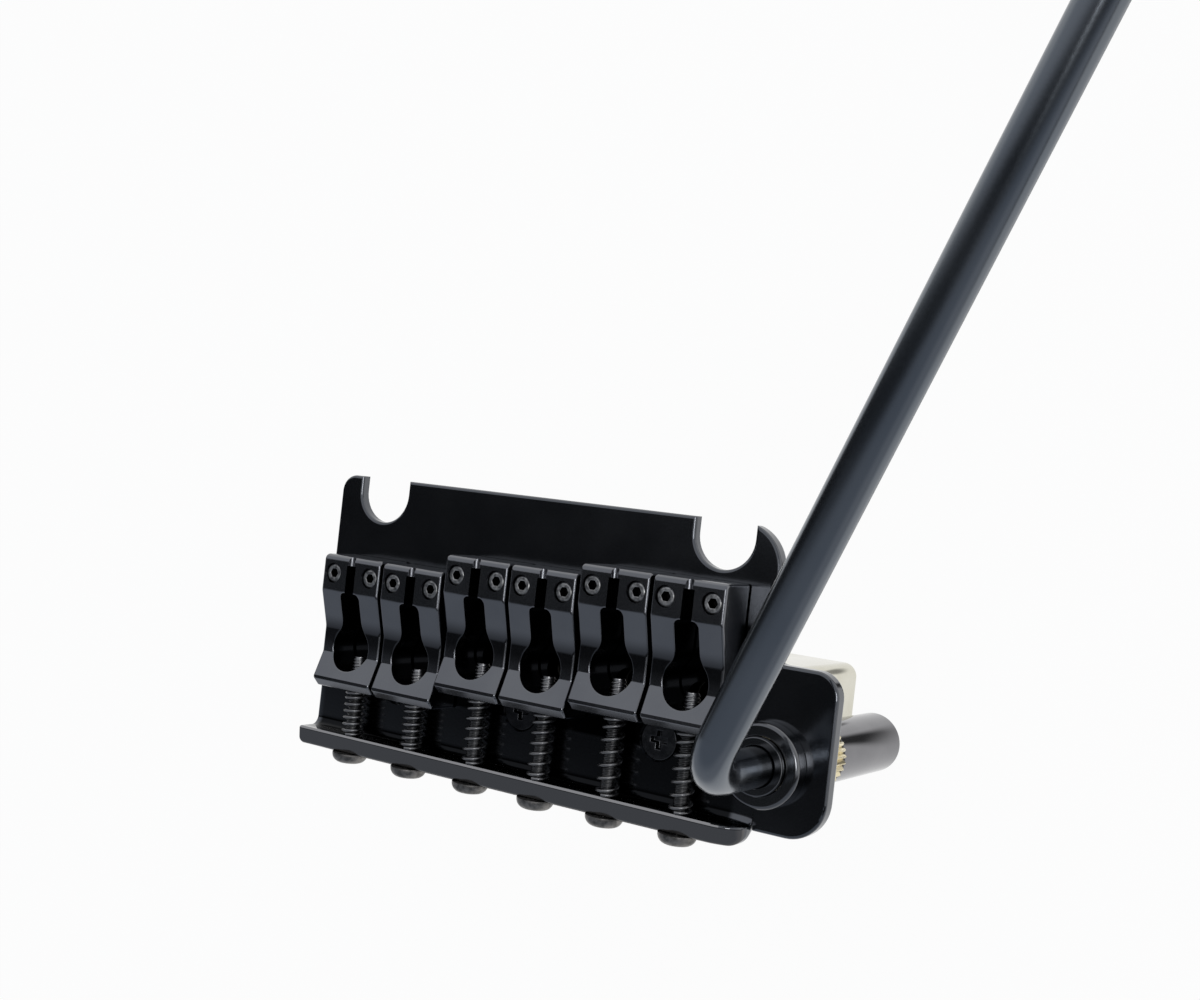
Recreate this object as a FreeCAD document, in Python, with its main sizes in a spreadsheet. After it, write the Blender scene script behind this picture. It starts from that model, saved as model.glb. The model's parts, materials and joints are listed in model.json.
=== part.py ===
import FreeCAD, Part
import math
import os
import re

import Sketcher

# Frame: X runs across the strings to the treble side, Y along the strings to the neck, Z out of the plate.
# The origin lies midway between the two pivot studs, on the plate's top face. Sizes are in millimetres.

SIZES = [
    # strings and pivot
    ("string_pitch", 10.8, "distance between neighbouring strings"),
    ("stud_spacing", 55.5, "distance between the pivot studs"),
    ("notch_radius", 4.25, "half the width of a pivot notch and its round bottom"),
    ("notch_overcut", 1.0, "how far a notch cut runs past the front line"),
    ("knife_bevel", 1.1, "bevel under the walls of a pivot notch"),
    # base plate
    ("plate_thickness", 2.5, "sheet thickness of plate and lip"),
    ("prong_width", 3.9, "plate beside a pivot notch"),
    ("plate_margin", 3.7, "plate beside the outer saddles"),
    ("front_line", 2.05, "front edge before the stud line"),
    ("prong_round_bass", 2.4, "outer corner of the bass prong"),
    ("prong_round_treble", 5.6, "outer corner of the treble prong"),
    ("lip_cover", 0.45, "lip above the screw holes"),
    ("lip_round_bass", 0.9, "lip's outer corner at the bass end"),
    ("lip_round_treble", 1.9, "lip's outer corner at the treble end"),
    ("bend_radius", 1.2, "inner radius of the lip's bend"),
    ("relief_width", 0.7, "slit between the lip's end and the ear"),
    ("relief_margin", 0.6, "how far the slit runs past the bend"),
    ("ear_side_room", 8.35, "ear beside the arm axis"),
    ("ear_front_room", 12.3, "ear before the arm axis"),
    ("ear_rear_room", 8.45, "ear behind the arm axis"),
    ("ear_front_round", 3.2, "ear's front outer corner"),
    ("ear_rear_round", 5.0, "ear's rear outer corner"),
    ("ear_inner_round", 2.0, "inner corner where the ear leaves the plate"),
    ("plate_edge_round", 0.4, "round on the upper edges of plate and lip"),
    # saddles
    ("saddle_gap", 0.5, "gap between neighbouring saddles"),
    ("saddle_length", 18.9, "length of one saddle"),
    ("saddle_lift", 0.35, "saddle's underside above the plate"),
    ("saddle_top", 6.3, "saddle's front top above the plate"),
    ("saddle_front_flat", 5.2, "length of the raised front"),
    ("saddle_dip_depth", 1.65, "dipped middle below the front top"),
    ("saddle_dip_run", 5.1, "slope from the front top to the dip"),
    ("saddle_ramp_run", 3.7, "rear ramp"),
    ("saddle_crest_rise", -0.1, "ramp's crest above the front top"),
    ("saddle_rear_bevel", 1.2, "bevel behind the ramp, along and down"),
    ("saddle_edge_round", 0.35, "round on all side edges but the lowest"),
    ("saddle_nose_round", 0.8, "round on the front top edge"),
    ("saddle_dip_round", 2.0, "hollow round at the end of the slope"),
    ("saddle_brow_round", 1.5, "round where the raised front ends"),
    ("saddle_ramp_round", 0.6, "hollow round at the ramp's foot"),
    ("saddle_crest_round", 0.5, "round on the ramp's crest and the rear edge"),
    ("slot_width", 1.6, "string slot between the prongs"),
    ("slot_front", 1.3, "wall left before the string slot"),
    ("keyhole_neck", 3.4, "width of the keyhole's neck"),
    ("keyhole_start", 5.2, "front end of the neck, from the front"),
    ("rear_wall", 2.7, "wall behind the keyhole"),
    ("keyhole_radius", 3.2, "radius of the keyhole's round"),
    ("neck_round", 0.8, "round corners of the neck's front end"),
    ("keyhole_flare", 3.0, "round where the neck meets the keyhole"),
    ("keyhole_rim_round", 0.2, "round on the keyhole's upper rim"),
    ("groove_radius", 0.55, "string groove in the front wall"),
    ("saddle_front_1", 9.4, "saddle front behind the stud line, bass end"),
    ("saddle_front_2", 9.5, "second saddle"),
    ("saddle_front_3", 7.0, "third saddle"),
    ("saddle_front_4", 7.0, "fourth saddle"),
    ("saddle_front_5", 5.55, "fifth saddle"),
    ("saddle_front_6", 5.55, "saddle front behind the stud line, treble end"),
    # height screws
    ("grub_radius", 1.35, "height screw"),
    ("grub_sink", 0.25, "height screw's top below the saddle's"),
    ("grub_side_wall", 0.45, "saddle beside a height screw's hole"),
    ("grub_setback", 2.6, "height screw behind the saddle's front"),
    ("grub_foot_gap", 0.05, "height screw's point above the plate"),
    ("grub_point", 0.5, "bevel of the point and the rim"),
    ("hex_across", 1.5, "hexagon socket across flats"),
    ("hex_depth", 1.6, "hexagon socket"),
    ("thread_gap", 0.05, "radial room in a threaded hole"),
    # intonation screws and springs
    ("screw_radius", 1.0, "intonation screw's shank"),
    ("screw_point", 0.3, "bevel of the screw's tip"),
    ("screw_tip_stand", 2.0, "screw's tip before the rear wall"),
    ("screw_hole_gap", 0.15, "radial room in the lip's holes"),
    ("head_radius", 2.5, "pan head"),
    ("head_height", 1.4, "pan head"),
    ("head_round", 1.25, "pan head's edge"),
    ("cross_reach", 1.2, "half length of a cross recess"),
    ("cross_width", 0.7, "width of a cross recess"),
    ("cross_depth", 0.9, "depth of a cross recess"),
    ("wire_size", 0.42, "spring wire diameter"),
    ("spring_room", 6.5, "length of the shortest spring's place"),
    ("spring_screw_gap", 0.14, "room between the spring and its screw"),
    ("spring_floor_gap", 0.64, "room between the spring and the plate"),
    ("spring_least_pitch", 0.95, "least rise per turn at rest"),
    ("spring_end_bend", 0.5, "bend from the last turn to its end"),
    ("spring_seat_gap", 0.02, "spring end's room at the lip and the saddle"),
    # inertia block
    ("block_end_wall", 5.0, "block beyond the outer strings"),
    ("block_front", 17.0, "block's front face behind the stud line"),
    ("block_depth", 14.0, "block from front to rear"),
    ("block_height", 36.0, "block under the plate"),
    ("block_corner", 2.0, "rounds on the block's upright edges"),
    ("block_foot_round", 1.0, "rounds on the block's lower edges"),
    ("string_hole_inset", 3.4, "string holes behind the block's front"),
    ("string_hole_plate", 1.9, "string hole radius in the plate"),
    ("string_hole_radius", 1.6, "string hole radius at the block's top"),
    ("ball_hole_radius", 2.2, "string hole radius below, for the ball end"),
    ("ball_hole_depth", 24.0, "wide part of a string hole"),
    ("hook_hole_radius", 1.25, "spring-hook hole"),
    ("hook_hole_depth", 9.0, "spring-hook hole"),
    ("hook_hole_inset", 10.0, "spring-hook holes behind the block's front"),
    # block screws
    ("block_screw_inset", 9.9, "block screws behind the block's front"),
    ("block_screw_radius", 1.45, "block screw's shank"),
    ("block_screw_length", 12.0, "block screw"),
    ("block_screw_head", 2.7, "countersunk head"),
    ("block_screw_sink", 0.1, "head's face below the plate's"),
    ("block_screw_gap", 0.1, "radial room round the shank and head"),
    ("block_tap_margin", 1.5, "tapped hole below the screw's end"),
    # arm socket
    ("socket_lip_room", 1.3, "room between the ring and the lip's bend"),
    ("socket_saddle_room", 0.15, "room between the ring and the last saddle's corner"),
    ("socket_block_room", 0.7, "room between the knurled band and the block"),
    ("flange_radius", 5.35, "ring on top of the ear"),
    ("flange_height", 2.4, "ring on top of the ear"),
    ("flange_bevel", 0.35, "ring's top edge"),
    ("neck_wall", 0.46, "core's neck through the ear and its lower spigot"),
    ("neck_gap", 0.04, "radial room round the neck"),
    ("neck_recess", 0.4, "neck's top below the ring's"),
    ("collar_stand", 0.9, "collar's top above the ring's"),
    ("core_shoulder", 0.5, "core's shoulder and the sleeve outside the neck"),
    ("core_length", 8.5, "smooth part of the core under the ear"),
    ("knurl_stand", 0.2, "knurled band outside the shoulder"),
    ("knurl_length", 3.6, "knurled band"),
    ("knurl_count", 30, "grooves of the band"),
    ("knurl_depth", 0.4, "groove of the band"),
    ("spigot_length", 5.0, "core's spigot in the sleeve"),
    ("sleeve_length", 19.7, "sleeve under the knurled band"),
    ("sleeve_floor", 1.2, "sleeve's closed end"),
    ("sleeve_round", 0.6, "sleeve's lower edge"),
    ("bush_wall", 0.55, "plain bush"),
    ("bush_gap", 0.03, "radial room round the bush"),
    # arm
    ("arm_radius", 2.5, "arm rod"),
    ("arm_gap", 0.06, "radial room in the bush"),
    ("arm_foot_room", 3.5, "room under the leg's end"),
    ("arm_elbow", 17.3, "corner of the arm's middle line above the plate"),
    ("arm_bend", 6.5, "bend radius of the arm's middle line"),
    ("arm_rise_angle", 7.9, "rise of the rod, degrees"),
    ("arm_rest_angle", 25.45, "rod's direction from the string line, degrees"),
    ("arm_length", 150.0, "rod's end from the corner"),
    ("arm_tip_round", 2.0, "round on the rod's end"),
    ("arm_foot_bevel", 0.6, "bevel on the leg's end"),
]

NAMES = {name for name, _, _ in SIZES}
STRINGS = range(1, 7)
SCREW_PLACES = (-2, 0, 2)
HOOK_PLACES = (-2, -1, 0, 1, 2)
KNIFE_ANGLE = 45
TINY = 1e-4

# Sizes and places that follow from the sizes above
FOLLOWING = {
    "outer_string": "2.5 * string_pitch",
    "saddle_width": "string_pitch - saddle_gap",
    "saddle_side": "outer_string + saddle_width / 2",
    "plate_half_width": "max(stud_spacing / 2 + notch_radius + prong_width; saddle_side + plate_margin)",
    "rearmost_front": "max(" + "; ".join(f"saddle_front_{number}" for number in STRINGS) + ")",
    "lip_distance": "rearmost_front + saddle_length + spring_room",
    "rear_line": "lip_distance + plate_thickness",
    "relief_start": "lip_distance - bend_radius - relief_margin",
    "lip_hole": "screw_radius + screw_hole_gap",
    "spring_radius": "screw_radius + spring_screw_gap + wire_size / 2",
    "screw_height": "spring_radius + wire_size / 2 + spring_floor_gap",
    "lip_height": "screw_height + lip_hole + lip_cover",
    "saddle_dip": "saddle_top - saddle_dip_depth",
    "saddle_dip_start": "saddle_front_flat + saddle_dip_run",
    "saddle_ramp_end": "saddle_length - saddle_rear_bevel",
    "saddle_ramp_start": "saddle_ramp_end - saddle_ramp_run",
    "saddle_ramp_top": "saddle_top + saddle_crest_rise",
    "keyhole_centre": "saddle_length - rear_wall - keyhole_radius",
    "keyhole_meeting": "keyhole_centre - sqrt(keyhole_radius ^ 2 - (keyhole_neck / 2) ^ 2)",
    "screw_tip_place": "saddle_length - rear_wall - screw_tip_stand",
    "grub_side": "saddle_width / 2 - grub_radius - thread_gap - grub_side_wall",
    "grub_length": "saddle_top - grub_foot_gap - grub_sink",
    "block_half_width": "outer_string + block_end_wall",
    "block_rear": "block_front + block_depth",
    "string_hole_back": "block_front + string_hole_inset",
    "hook_hole_back": "block_front + hook_hole_inset",
    "block_screw_back": "block_front + block_screw_inset",
    "bush_bore": "arm_radius + arm_gap",
    "bush_outside": "bush_bore + bush_wall",
    "core_bore": "bush_outside + bush_gap",
    "neck_radius": "core_bore + neck_wall",
    "ring_bore": "neck_radius + neck_gap",
    "core_radius": "neck_radius + core_shoulder",
    "knurl_radius": "core_radius + knurl_stand",
    "neck_top": "flange_height - neck_recess",
    "collar_top": "flange_height + collar_stand",
    "knurl_top": "plate_thickness + core_length",
    "knurl_foot": "knurl_top + knurl_length",
    "sleeve_foot": "knurl_foot + sleeve_length",
    "bush_foot": "sleeve_foot - sleeve_floor",
    "arm_leg": "bush_foot - arm_foot_room",
    "socket_back": "lip_distance - bend_radius - socket_lip_room - flange_radius",
    "ring_behind_saddle": "socket_back - saddle_front_6 - saddle_length",
    "ring_beside_saddle": "sqrt((flange_radius + socket_saddle_room) ^ 2 - ring_behind_saddle ^ 2)",
    "socket_by_saddle": "saddle_side + ring_beside_saddle",
    "socket_by_block": "block_half_width + knurl_radius + socket_block_room",
    "socket_side": "max(socket_by_saddle; socket_by_block)",
    "ear_reach": "socket_side + ear_side_room",
    "ear_front": "socket_back - ear_front_room",
    "ear_rear": "socket_back + ear_rear_room",
}

doc = FreeCAD.newDocument("tremolo_bridge")
sheet = doc.addObject("Spreadsheet::Sheet", "Sizes")
for row, (name, number, note) in enumerate(SIZES, start=1):
    sheet.set(f"A{row}", name)
    sheet.set(f"B{row}", str(number))
    sheet.setAlias(f"B{row}", name)
    sheet.set(f"C{row}", note)
doc.recompute()

sub_parts = []


def linked(text):
    """Turn an expression in size names into one that reads the sheet."""

    def spelled(match):
        word = match[0]
        if word in FOLLOWING:
            return f"({linked(FOLLOWING[word])})"
        return f"Sizes.{word}" if word in NAMES else word

    return re.sub(r"[a-z_0-9]+", spelled, str(text))


def value(text):
    """Work out an expression in size names."""
    return float(sheet.evalExpression(linked(text)))


def string_side(number):
    """Expression for a string's place across the plate."""
    return f"({number - 3.5} * string_pitch)"


# Building helpers


def new_body(label, side="0", along="0", up="0"):
    """Start a sub-part whose own origin lies at the given place."""
    body = doc.addObject("PartDesign::Body", label)
    body.Label = label
    for axis, place in zip("xyz", (side, along, up)):
        body.setExpression(f"Placement.Base.{axis}", linked(place))
    sub_parts.append(body)
    return body


def origin_feature(body, role):
    """Find one of a body's own planes or axes."""
    return next(item for item in body.Origin.OriginFeatures if item.Role == role)


def new_sketch(body, name, role, lift="0"):
    """Start a sketch on one of the body's planes, moved along the plane's normal."""
    sketch = body.newObject("Sketcher::SketchObject", name)
    sketch.AttachmentSupport = (origin_feature(body, role), [""])
    sketch.MapMode = "FlatFace"
    sketch.setExpression("AttachmentOffset.Base.z", linked(lift))
    return sketch


def bind(sketch, kind, expression, *places):
    """Add a dimension that reads the sheet."""
    index = sketch.addConstraint(Sketcher.Constraint(kind, *places, value(expression)))
    sketch.setExpression(f"Constraints[{index}]", linked(expression))


def pin(sketch, item, end, across, up):
    """Hold one point of a sketch at a place given by expressions."""
    bind(sketch, "DistanceX", across, -1, 1, item, end)
    bind(sketch, "DistanceY", up, -1, 1, item, end)


def join(sketch, item, end, other, other_end):
    """Make two ends of a sketch meet."""
    sketch.addConstraint(Sketcher.Constraint("Coincident", item, end, other, other_end))


def point(across, up):
    """Point of a sketch from two expressions."""
    return FreeCAD.Vector(value(across), value(up), 0)


def outline(sketch, corners):
    """Draw a closed outline of straight runs through the corners."""
    first = sketch.GeometryCount
    places = [point(*corner) for corner in corners]
    for start, end in zip(places, places[1:] + places[:1]):
        sketch.addGeometry(Part.LineSegment(start, end), False)
    for index, corner in enumerate(corners):
        join(sketch, first + index, 2, first + (index + 1) % len(corners), 1)
        pin(sketch, first + index, 1, *corner)


def rectangle(sketch, low, high):
    """Draw a rectangle between two opposite corners."""
    outline(sketch, [low, (high[0], low[1]), high, (low[0], high[1])])


def circle(sketch, across, up, radius):
    """Draw a circle."""
    item = sketch.addGeometry(Part.Circle(point(across, up), FreeCAD.Vector(0, 0, 1), value(radius)), False)
    pin(sketch, item, 3, across, up)
    bind(sketch, "Radius", radius, item)


def arc(sketch, across, up, radius, start, end):
    """Add an arc, from one angle to another in degrees, and return its number."""
    whole = Part.Circle(point(across, up), FreeCAD.Vector(0, 0, 1), value(radius))
    return sketch.addGeometry(Part.ArcOfCircle(whole, math.radians(start), math.radians(end)), False)


def feature(body, kind, name, sketch):
    """Add a feature that works on a sketch."""
    item = body.newObject(f"PartDesign::{kind}", name)
    item.Profile = sketch
    sketch.Visibility = False
    return item


def pad(body, sketch, length, reverse=False, both_ways=False):
    """Raise a sketch into a solid."""
    item = feature(body, "Pad", f"{sketch.Name}_pad", sketch)
    item.setExpression("Length", linked(length))
    item.Reversed = reverse
    item.Midplane = both_ways
    doc.recompute()


def pocket(body, sketch, length=None, reverse=False, lean=0):
    """Cut a sketch into the solid, to a depth with walls that may lean out, or right through both ways."""
    before = body.Shape.Volume
    item = feature(body, "Pocket", f"{sketch.Name}_cut", sketch)
    if length is None:
        item.Type = "ThroughAll"
        item.Midplane = True
    else:
        item.setExpression("Length", linked(length))
        item.Reversed = reverse
        item.TaperAngle = lean
    doc.recompute()
    if body.Shape.Volume > before - TINY:
        raise RuntimeError(f"{sketch.Name} cuts nothing from {body.Label}")
    return item


def turned(body, sketch, axis):
    """Turn a sketch round one of its own axes into a solid."""
    item = feature(body, "Revolution", f"{sketch.Name}_turned", sketch)
    item.ReferenceAxis = (sketch, [axis])
    item.Angle = 360
    doc.recompute()


def edges_where(body, test):
    """Names of the last feature's edges that pass a test on their middle point and direction."""
    names = []
    for number, edge in enumerate(body.Tip.Shape.Edges, start=1):
        first, last = edge.ParameterRange
        middle = edge.valueAt((first + last) / 2)
        run = edge.lastVertex().Point - edge.firstVertex().Point
        if test(edge, middle, run):
            names.append(f"Edge{number}")
    if not names:
        raise RuntimeError(f"no such edge on {body.Label}")
    return names


def near(number, expression):
    """Whether a number equals an expression."""
    return abs(number - value(expression)) < TINY


def soften(body, kind, name, size, test):
    """Round or bevel the edges that pass a test."""
    base, edges = body.Tip, edges_where(body, test)
    item = body.newObject(f"PartDesign::{kind}", name)
    item.Base = (base, edges)
    item.setExpression("Radius" if kind == "Fillet" else "Size", linked(size))
    doc.recompute()


def upright_at(across, along):
    """Test for a straight upright edge at a place."""

    def test(edge, middle, run):
        upright = abs(run.x) < TINY and abs(run.y) < TINY and abs(run.z) > TINY
        return upright and near(middle.x, across) and near(middle.y, along)

    return test


def crosswise_at(along, up):
    """Test for a straight edge along X at a place."""

    def test(edge, middle, run):
        crosswise = abs(run.y) < TINY and abs(run.z) < TINY and abs(run.x) > TINY
        return crosswise and near(middle.y, along) and near(middle.z, up)

    return test


def ring_at(axis, place, radius):
    """Test for a full circle of a given radius at a place along an axis."""

    def test(edge, middle, run):
        if not isinstance(edge.Curve, Part.Circle) or run.Length > TINY:
            return False
        return near(getattr(middle, axis), place) and near(edge.Curve.Radius, radius)

    return test


def cross_outline(sketch):
    """Draw a cross recess about the sketch's origin."""
    reach = "cross_reach"
    half = "(cross_width / 2)"
    arm = [(reach, f"-{half}"), (reach, half), (half, half)]
    corners = []
    for _ in range(4):
        corners += arm
        arm = [(f"-({up})", across) for across, up in arm]
    outline(sketch, corners)


# Base plate


def notch_outline(sketch, side):
    """Draw one pivot notch: a round bottom and straight walls to the front."""
    centre = f"({side} * stud_spacing / 2)"
    lip = "(front_line + notch_overcut)"
    bottom = arc(sketch, centre, "0", "notch_radius", 180, 360)
    corners = [
        (f"{centre} + notch_radius", "0"),
        (f"{centre} + notch_radius", lip),
        (f"{centre} - notch_radius", lip),
        (f"{centre} - notch_radius", "0"),
    ]
    places = [point(*corner) for corner in corners]
    for start, end in zip(places, places[1:]):
        sketch.addGeometry(Part.LineSegment(start, end), False)
    right, mouth, left = bottom + 1, bottom + 2, bottom + 3
    join(sketch, bottom, 2, right, 1)
    join(sketch, right, 2, mouth, 1)
    join(sketch, mouth, 2, left, 1)
    join(sketch, left, 2, bottom, 1)
    pin(sketch, right, 1, *corners[0])
    pin(sketch, mouth, 1, *corners[1])
    pin(sketch, mouth, 2, *corners[2])
    pin(sketch, left, 2, *corners[3])
    bind(sketch, "DistanceY", "0", -1, 1, bottom, 3)


def make_base_plate():
    """Bent plate with pivot notches, a rear lip and the ear that carries the arm."""
    body = new_body("base_plate")
    flat = new_sketch(body, "plate_outline", "XY_Plane")
    outline(flat, [
        ("-plate_half_width", "front_line"),
        ("plate_half_width", "front_line"),
        ("plate_half_width", "-ear_front"),
        ("ear_reach", "-ear_front"),
        ("ear_reach", "-ear_rear"),
        ("plate_half_width + relief_width", "-ear_rear"),
        ("plate_half_width + relief_width", "-relief_start"),
        ("plate_half_width", "-relief_start"),
        ("plate_half_width", "-rear_line"),
        ("-plate_half_width", "-rear_line"),
    ])
    pad(body, flat, "plate_thickness", reverse=True)
    lip = new_sketch(body, "lip_outline", "XY_Plane")
    rectangle(lip, ("-plate_half_width", "-rear_line"), ("plate_half_width", "-lip_distance"))
    pad(body, lip, "lip_height")
    soften(body, "Fillet", "bend_inside", "bend_radius", crosswise_at("-lip_distance", "0"))
    outer_edge = crosswise_at("-rear_line", "-plate_thickness")

    def under_lip(edge, middle, run):
        return outer_edge(edge, middle, run) and middle.x < value("plate_half_width")

    soften(body, "Fillet", "bend_outside", "bend_radius + plate_thickness", under_lip)
    corners = [
        ("bass_prong", "prong_round_bass", "-plate_half_width", "front_line"),
        ("treble_prong", "prong_round_treble", "plate_half_width", "front_line"),
        ("ear_inner", "ear_inner_round", "plate_half_width", "-ear_front"),
        ("ear_front", "ear_front_round", "ear_reach", "-ear_front"),
        ("ear_rear", "ear_rear_round", "ear_reach", "-ear_rear"),
        ("lip_bass", "lip_round_bass", "-plate_half_width", "-rear_line"),
        ("lip_treble", "lip_round_treble", "plate_half_width", "-rear_line"),
    ]
    for name, radius, across, along in corners:
        soften(body, "Fillet", f"{name}_corner", radius, upright_at(across, along))
    notches = new_sketch(body, "notches", "XY_Plane")
    for side in (-1, 1):
        notch_outline(notches, side)
    pocket(body, notches)
    bevels = new_sketch(body, "notch_bevels", "XY_Plane", "knife_bevel - plate_thickness")
    for side in (-1, 1):
        notch_outline(bevels, side)
    pocket(body, bevels, "knife_bevel", lean=KNIFE_ANGLE)
    holes = new_sketch(body, "plate_holes", "XY_Plane")
    for number in STRINGS:
        circle(holes, string_side(number), "-string_hole_back", "string_hole_plate")
    for step in SCREW_PLACES:
        circle(holes, f"{step} * string_pitch", "-block_screw_back", "block_screw_radius + block_screw_gap")
    circle(holes, "socket_side", "-socket_back", "ring_bore")
    pocket(body, holes)
    sunk_rim = ring_at("z", "0", "block_screw_radius + block_screw_gap")
    soften(body, "Chamfer", "countersinks", "block_screw_head - block_screw_radius", sunk_rim)

    def upper_rim(edge, middle, run):
        on_lip = near(middle.z, "lip_height")
        on_plate = near(middle.z, "0") and middle.y > -value("relief_start")
        hole = run.Length < TINY
        return on_lip or on_plate and not hole

    soften(body, "Fillet", "upper_edges", "plate_edge_round", upper_rim)
    lip_holes = new_sketch(body, "lip_holes", "XZ_Plane", "rear_line + notch_overcut")
    for number in STRINGS:
        circle(lip_holes, string_side(number), "screw_height", "lip_hole")
    pocket(body, lip_holes, "plate_thickness + 2 * notch_overcut")


# Saddles and their screws


def keyhole_outline(sketch):
    """Draw the keyhole: a neck that opens into a round."""
    half = "(keyhole_neck / 2)"
    meeting = "-keyhole_meeting"
    lean = math.degrees(math.acos(value(half) / value("keyhole_radius")))
    round_end = arc(sketch, "0", "-keyhole_centre", "keyhole_radius", 180 - lean, 360 + lean)
    front_end = "-keyhole_start"
    corners = [(half, meeting), (half, front_end), (f"-{half}", front_end), (f"-{half}", meeting)]
    places = [point(*corner) for corner in corners]
    for start, end in zip(places, places[1:]):
        sketch.addGeometry(Part.LineSegment(start, end), False)
    right, front, left = round_end + 1, round_end + 2, round_end + 3
    join(sketch, round_end, 2, right, 1)
    join(sketch, right, 2, front, 1)
    join(sketch, front, 2, left, 1)
    join(sketch, left, 2, round_end, 1)
    pin(sketch, right, 1, *corners[0])
    pin(sketch, front, 1, *corners[1])
    pin(sketch, front, 2, *corners[2])
    pin(sketch, left, 2, *corners[3])
    bind(sketch, "Radius", "keyhole_radius", round_end)


def make_saddle(number):
    """One saddle: raised front, hollow middle, rear ramp, string slot, keyhole and threaded holes."""
    body = new_body(f"saddle_{number}", string_side(number), f"-saddle_front_{number}")
    side = new_sketch(body, f"saddle_{number}_profile", "YZ_Plane")
    outline(side, [
        ("0", "saddle_lift"),
        ("0", "saddle_top"),
        ("-saddle_front_flat", "saddle_top"),
        ("-saddle_dip_start", "saddle_dip"),
        ("-saddle_ramp_start", "saddle_dip"),
        ("-saddle_ramp_end", "saddle_ramp_top"),
        ("-saddle_length", "saddle_ramp_top - saddle_rear_bevel"),
        ("-saddle_length", "saddle_lift"),
    ])
    pad(body, side, "saddle_width", both_ways=True)
    rounds = [
        ("nose", "saddle_nose_round", "0", "saddle_top"),
        ("brow", "saddle_brow_round", "-saddle_front_flat", "saddle_top"),
        ("dip_front", "saddle_dip_round", "-saddle_dip_start", "saddle_dip"),
        ("dip_rear", "saddle_ramp_round", "-saddle_ramp_start", "saddle_dip"),
        ("crest", "saddle_crest_round", "-saddle_ramp_end", "saddle_ramp_top"),
        ("rear", "saddle_crest_round", "-saddle_length", "saddle_ramp_top - saddle_rear_bevel"),
    ]
    for name, radius, along, up in rounds:
        soften(body, "Fillet", f"saddle_{number}_{name}", radius, crosswise_at(along, up))

    def beside(edge, middle, run):
        return near(abs(middle.x), "saddle_width / 2") and middle.z > value("saddle_lift") + TINY

    soften(body, "Fillet", f"saddle_{number}_sides", "saddle_edge_round", beside)
    keyhole = new_sketch(body, f"saddle_{number}_keyhole", "XY_Plane")
    keyhole_outline(keyhole)
    pocket(body, keyhole)
    for hand, name in ((-1, "bass"), (1, "treble")):
        corner = upright_at(f"{hand} * keyhole_neck / 2", "-keyhole_start")
        soften(body, "Fillet", f"saddle_{number}_neck_{name}", "neck_round", corner)

    def flare(edge, middle, run):
        upright = abs(run.x) < TINY and abs(run.y) < TINY
        return upright and near(abs(middle.x), "keyhole_neck / 2") and near(middle.y, "-keyhole_meeting")

    soften(body, "Fillet", f"saddle_{number}_flare", "keyhole_flare", flare)

    def keyhole_rim(edge, middle, run):
        inside = abs(middle.x) < value("keyhole_radius") + TINY and middle.z > value("saddle_dip") - TINY
        crosswise = abs(run.y) < TINY and abs(run.z) < TINY and isinstance(edge.Curve, Part.Line)
        upright = abs(run.x) < TINY and abs(run.y) < TINY
        return inside and not crosswise and not upright

    soften(body, "Fillet", f"saddle_{number}_rim", "keyhole_rim_round", keyhole_rim)
    slot = new_sketch(body, f"saddle_{number}_slot", "XY_Plane")
    rectangle(slot, ("-slot_width / 2", "-keyhole_start - slot_front"), ("slot_width / 2", "-slot_front"))
    pocket(body, slot)
    groove = new_sketch(body, f"saddle_{number}_groove", "XZ_Plane")
    circle(groove, "0", "saddle_top", "groove_radius")
    pocket(body, groove, "slot_front", reverse=True)
    grub_holes = new_sketch(body, f"saddle_{number}_grub_holes", "XY_Plane")
    for hand in (-1, 1):
        circle(grub_holes, f"{hand} * grub_side", "-grub_setback", "grub_radius + thread_gap")
    pocket(body, grub_holes)
    tapped = new_sketch(body, f"saddle_{number}_tapped", "XZ_Plane", "keyhole_centre")
    circle(tapped, "0", "screw_height", "screw_radius + thread_gap")
    pocket(body, tapped, "saddle_length - keyhole_centre", reverse=True)


def make_height_screw(number, name, hand):
    """Grub screw that stands on the plate, with a hexagon socket in its top."""
    label = f"height_screw_{number}_{name}"
    across = f"{string_side(number)} + {hand} * grub_side"
    body = new_body(label, across, f"-saddle_front_{number} - grub_setback", "grub_foot_gap")
    rod = new_sketch(body, f"{label}_rod", "XY_Plane")
    circle(rod, "0", "0", "grub_radius")
    pad(body, rod, "grub_length")
    soften(body, "Chamfer", f"{label}_point", "grub_point", ring_at("z", "0", "grub_radius"))
    soften(body, "Chamfer", f"{label}_rim", "grub_point / 2", ring_at("z", "grub_length", "grub_radius"))
    hexagon = new_sketch(body, f"{label}_hexagon", "XY_Plane", "grub_length")
    corner = "hex_across / sqrt(3)"
    turns = range(0, 360, 60)
    outline(hexagon, [(f"{corner} * cos({turn} deg)", f"{corner} * sin({turn} deg)") for turn in turns])
    pocket(body, hexagon, "hex_depth")


def make_intonation_screw(number):
    """Pan-head screw from the lip's outer face into the saddle's rear wall."""
    label = f"intonation_screw_{number}"
    body = new_body(label, string_side(number), "-rear_line", "screw_height")
    shank = f"(rear_line - saddle_front_{number} - screw_tip_place)"
    side = new_sketch(body, f"{label}_profile", "YZ_Plane")
    outline(side, [
        ("-head_height", "0"),
        (shank, "0"),
        (shank, "screw_radius - screw_point"),
        (f"{shank} - screw_point", "screw_radius"),
        ("0", "screw_radius"),
        ("0", "head_radius"),
        ("-head_height", "head_radius"),
    ])
    turned(body, side, "H_Axis")
    soften(body, "Fillet", f"{label}_dome", "head_round", ring_at("y", "-head_height", "head_radius"))
    recess = new_sketch(body, f"{label}_recess", "XZ_Plane", "head_height")
    cross_outline(recess)
    pocket(body, recess, "cross_depth")


# Springs


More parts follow.
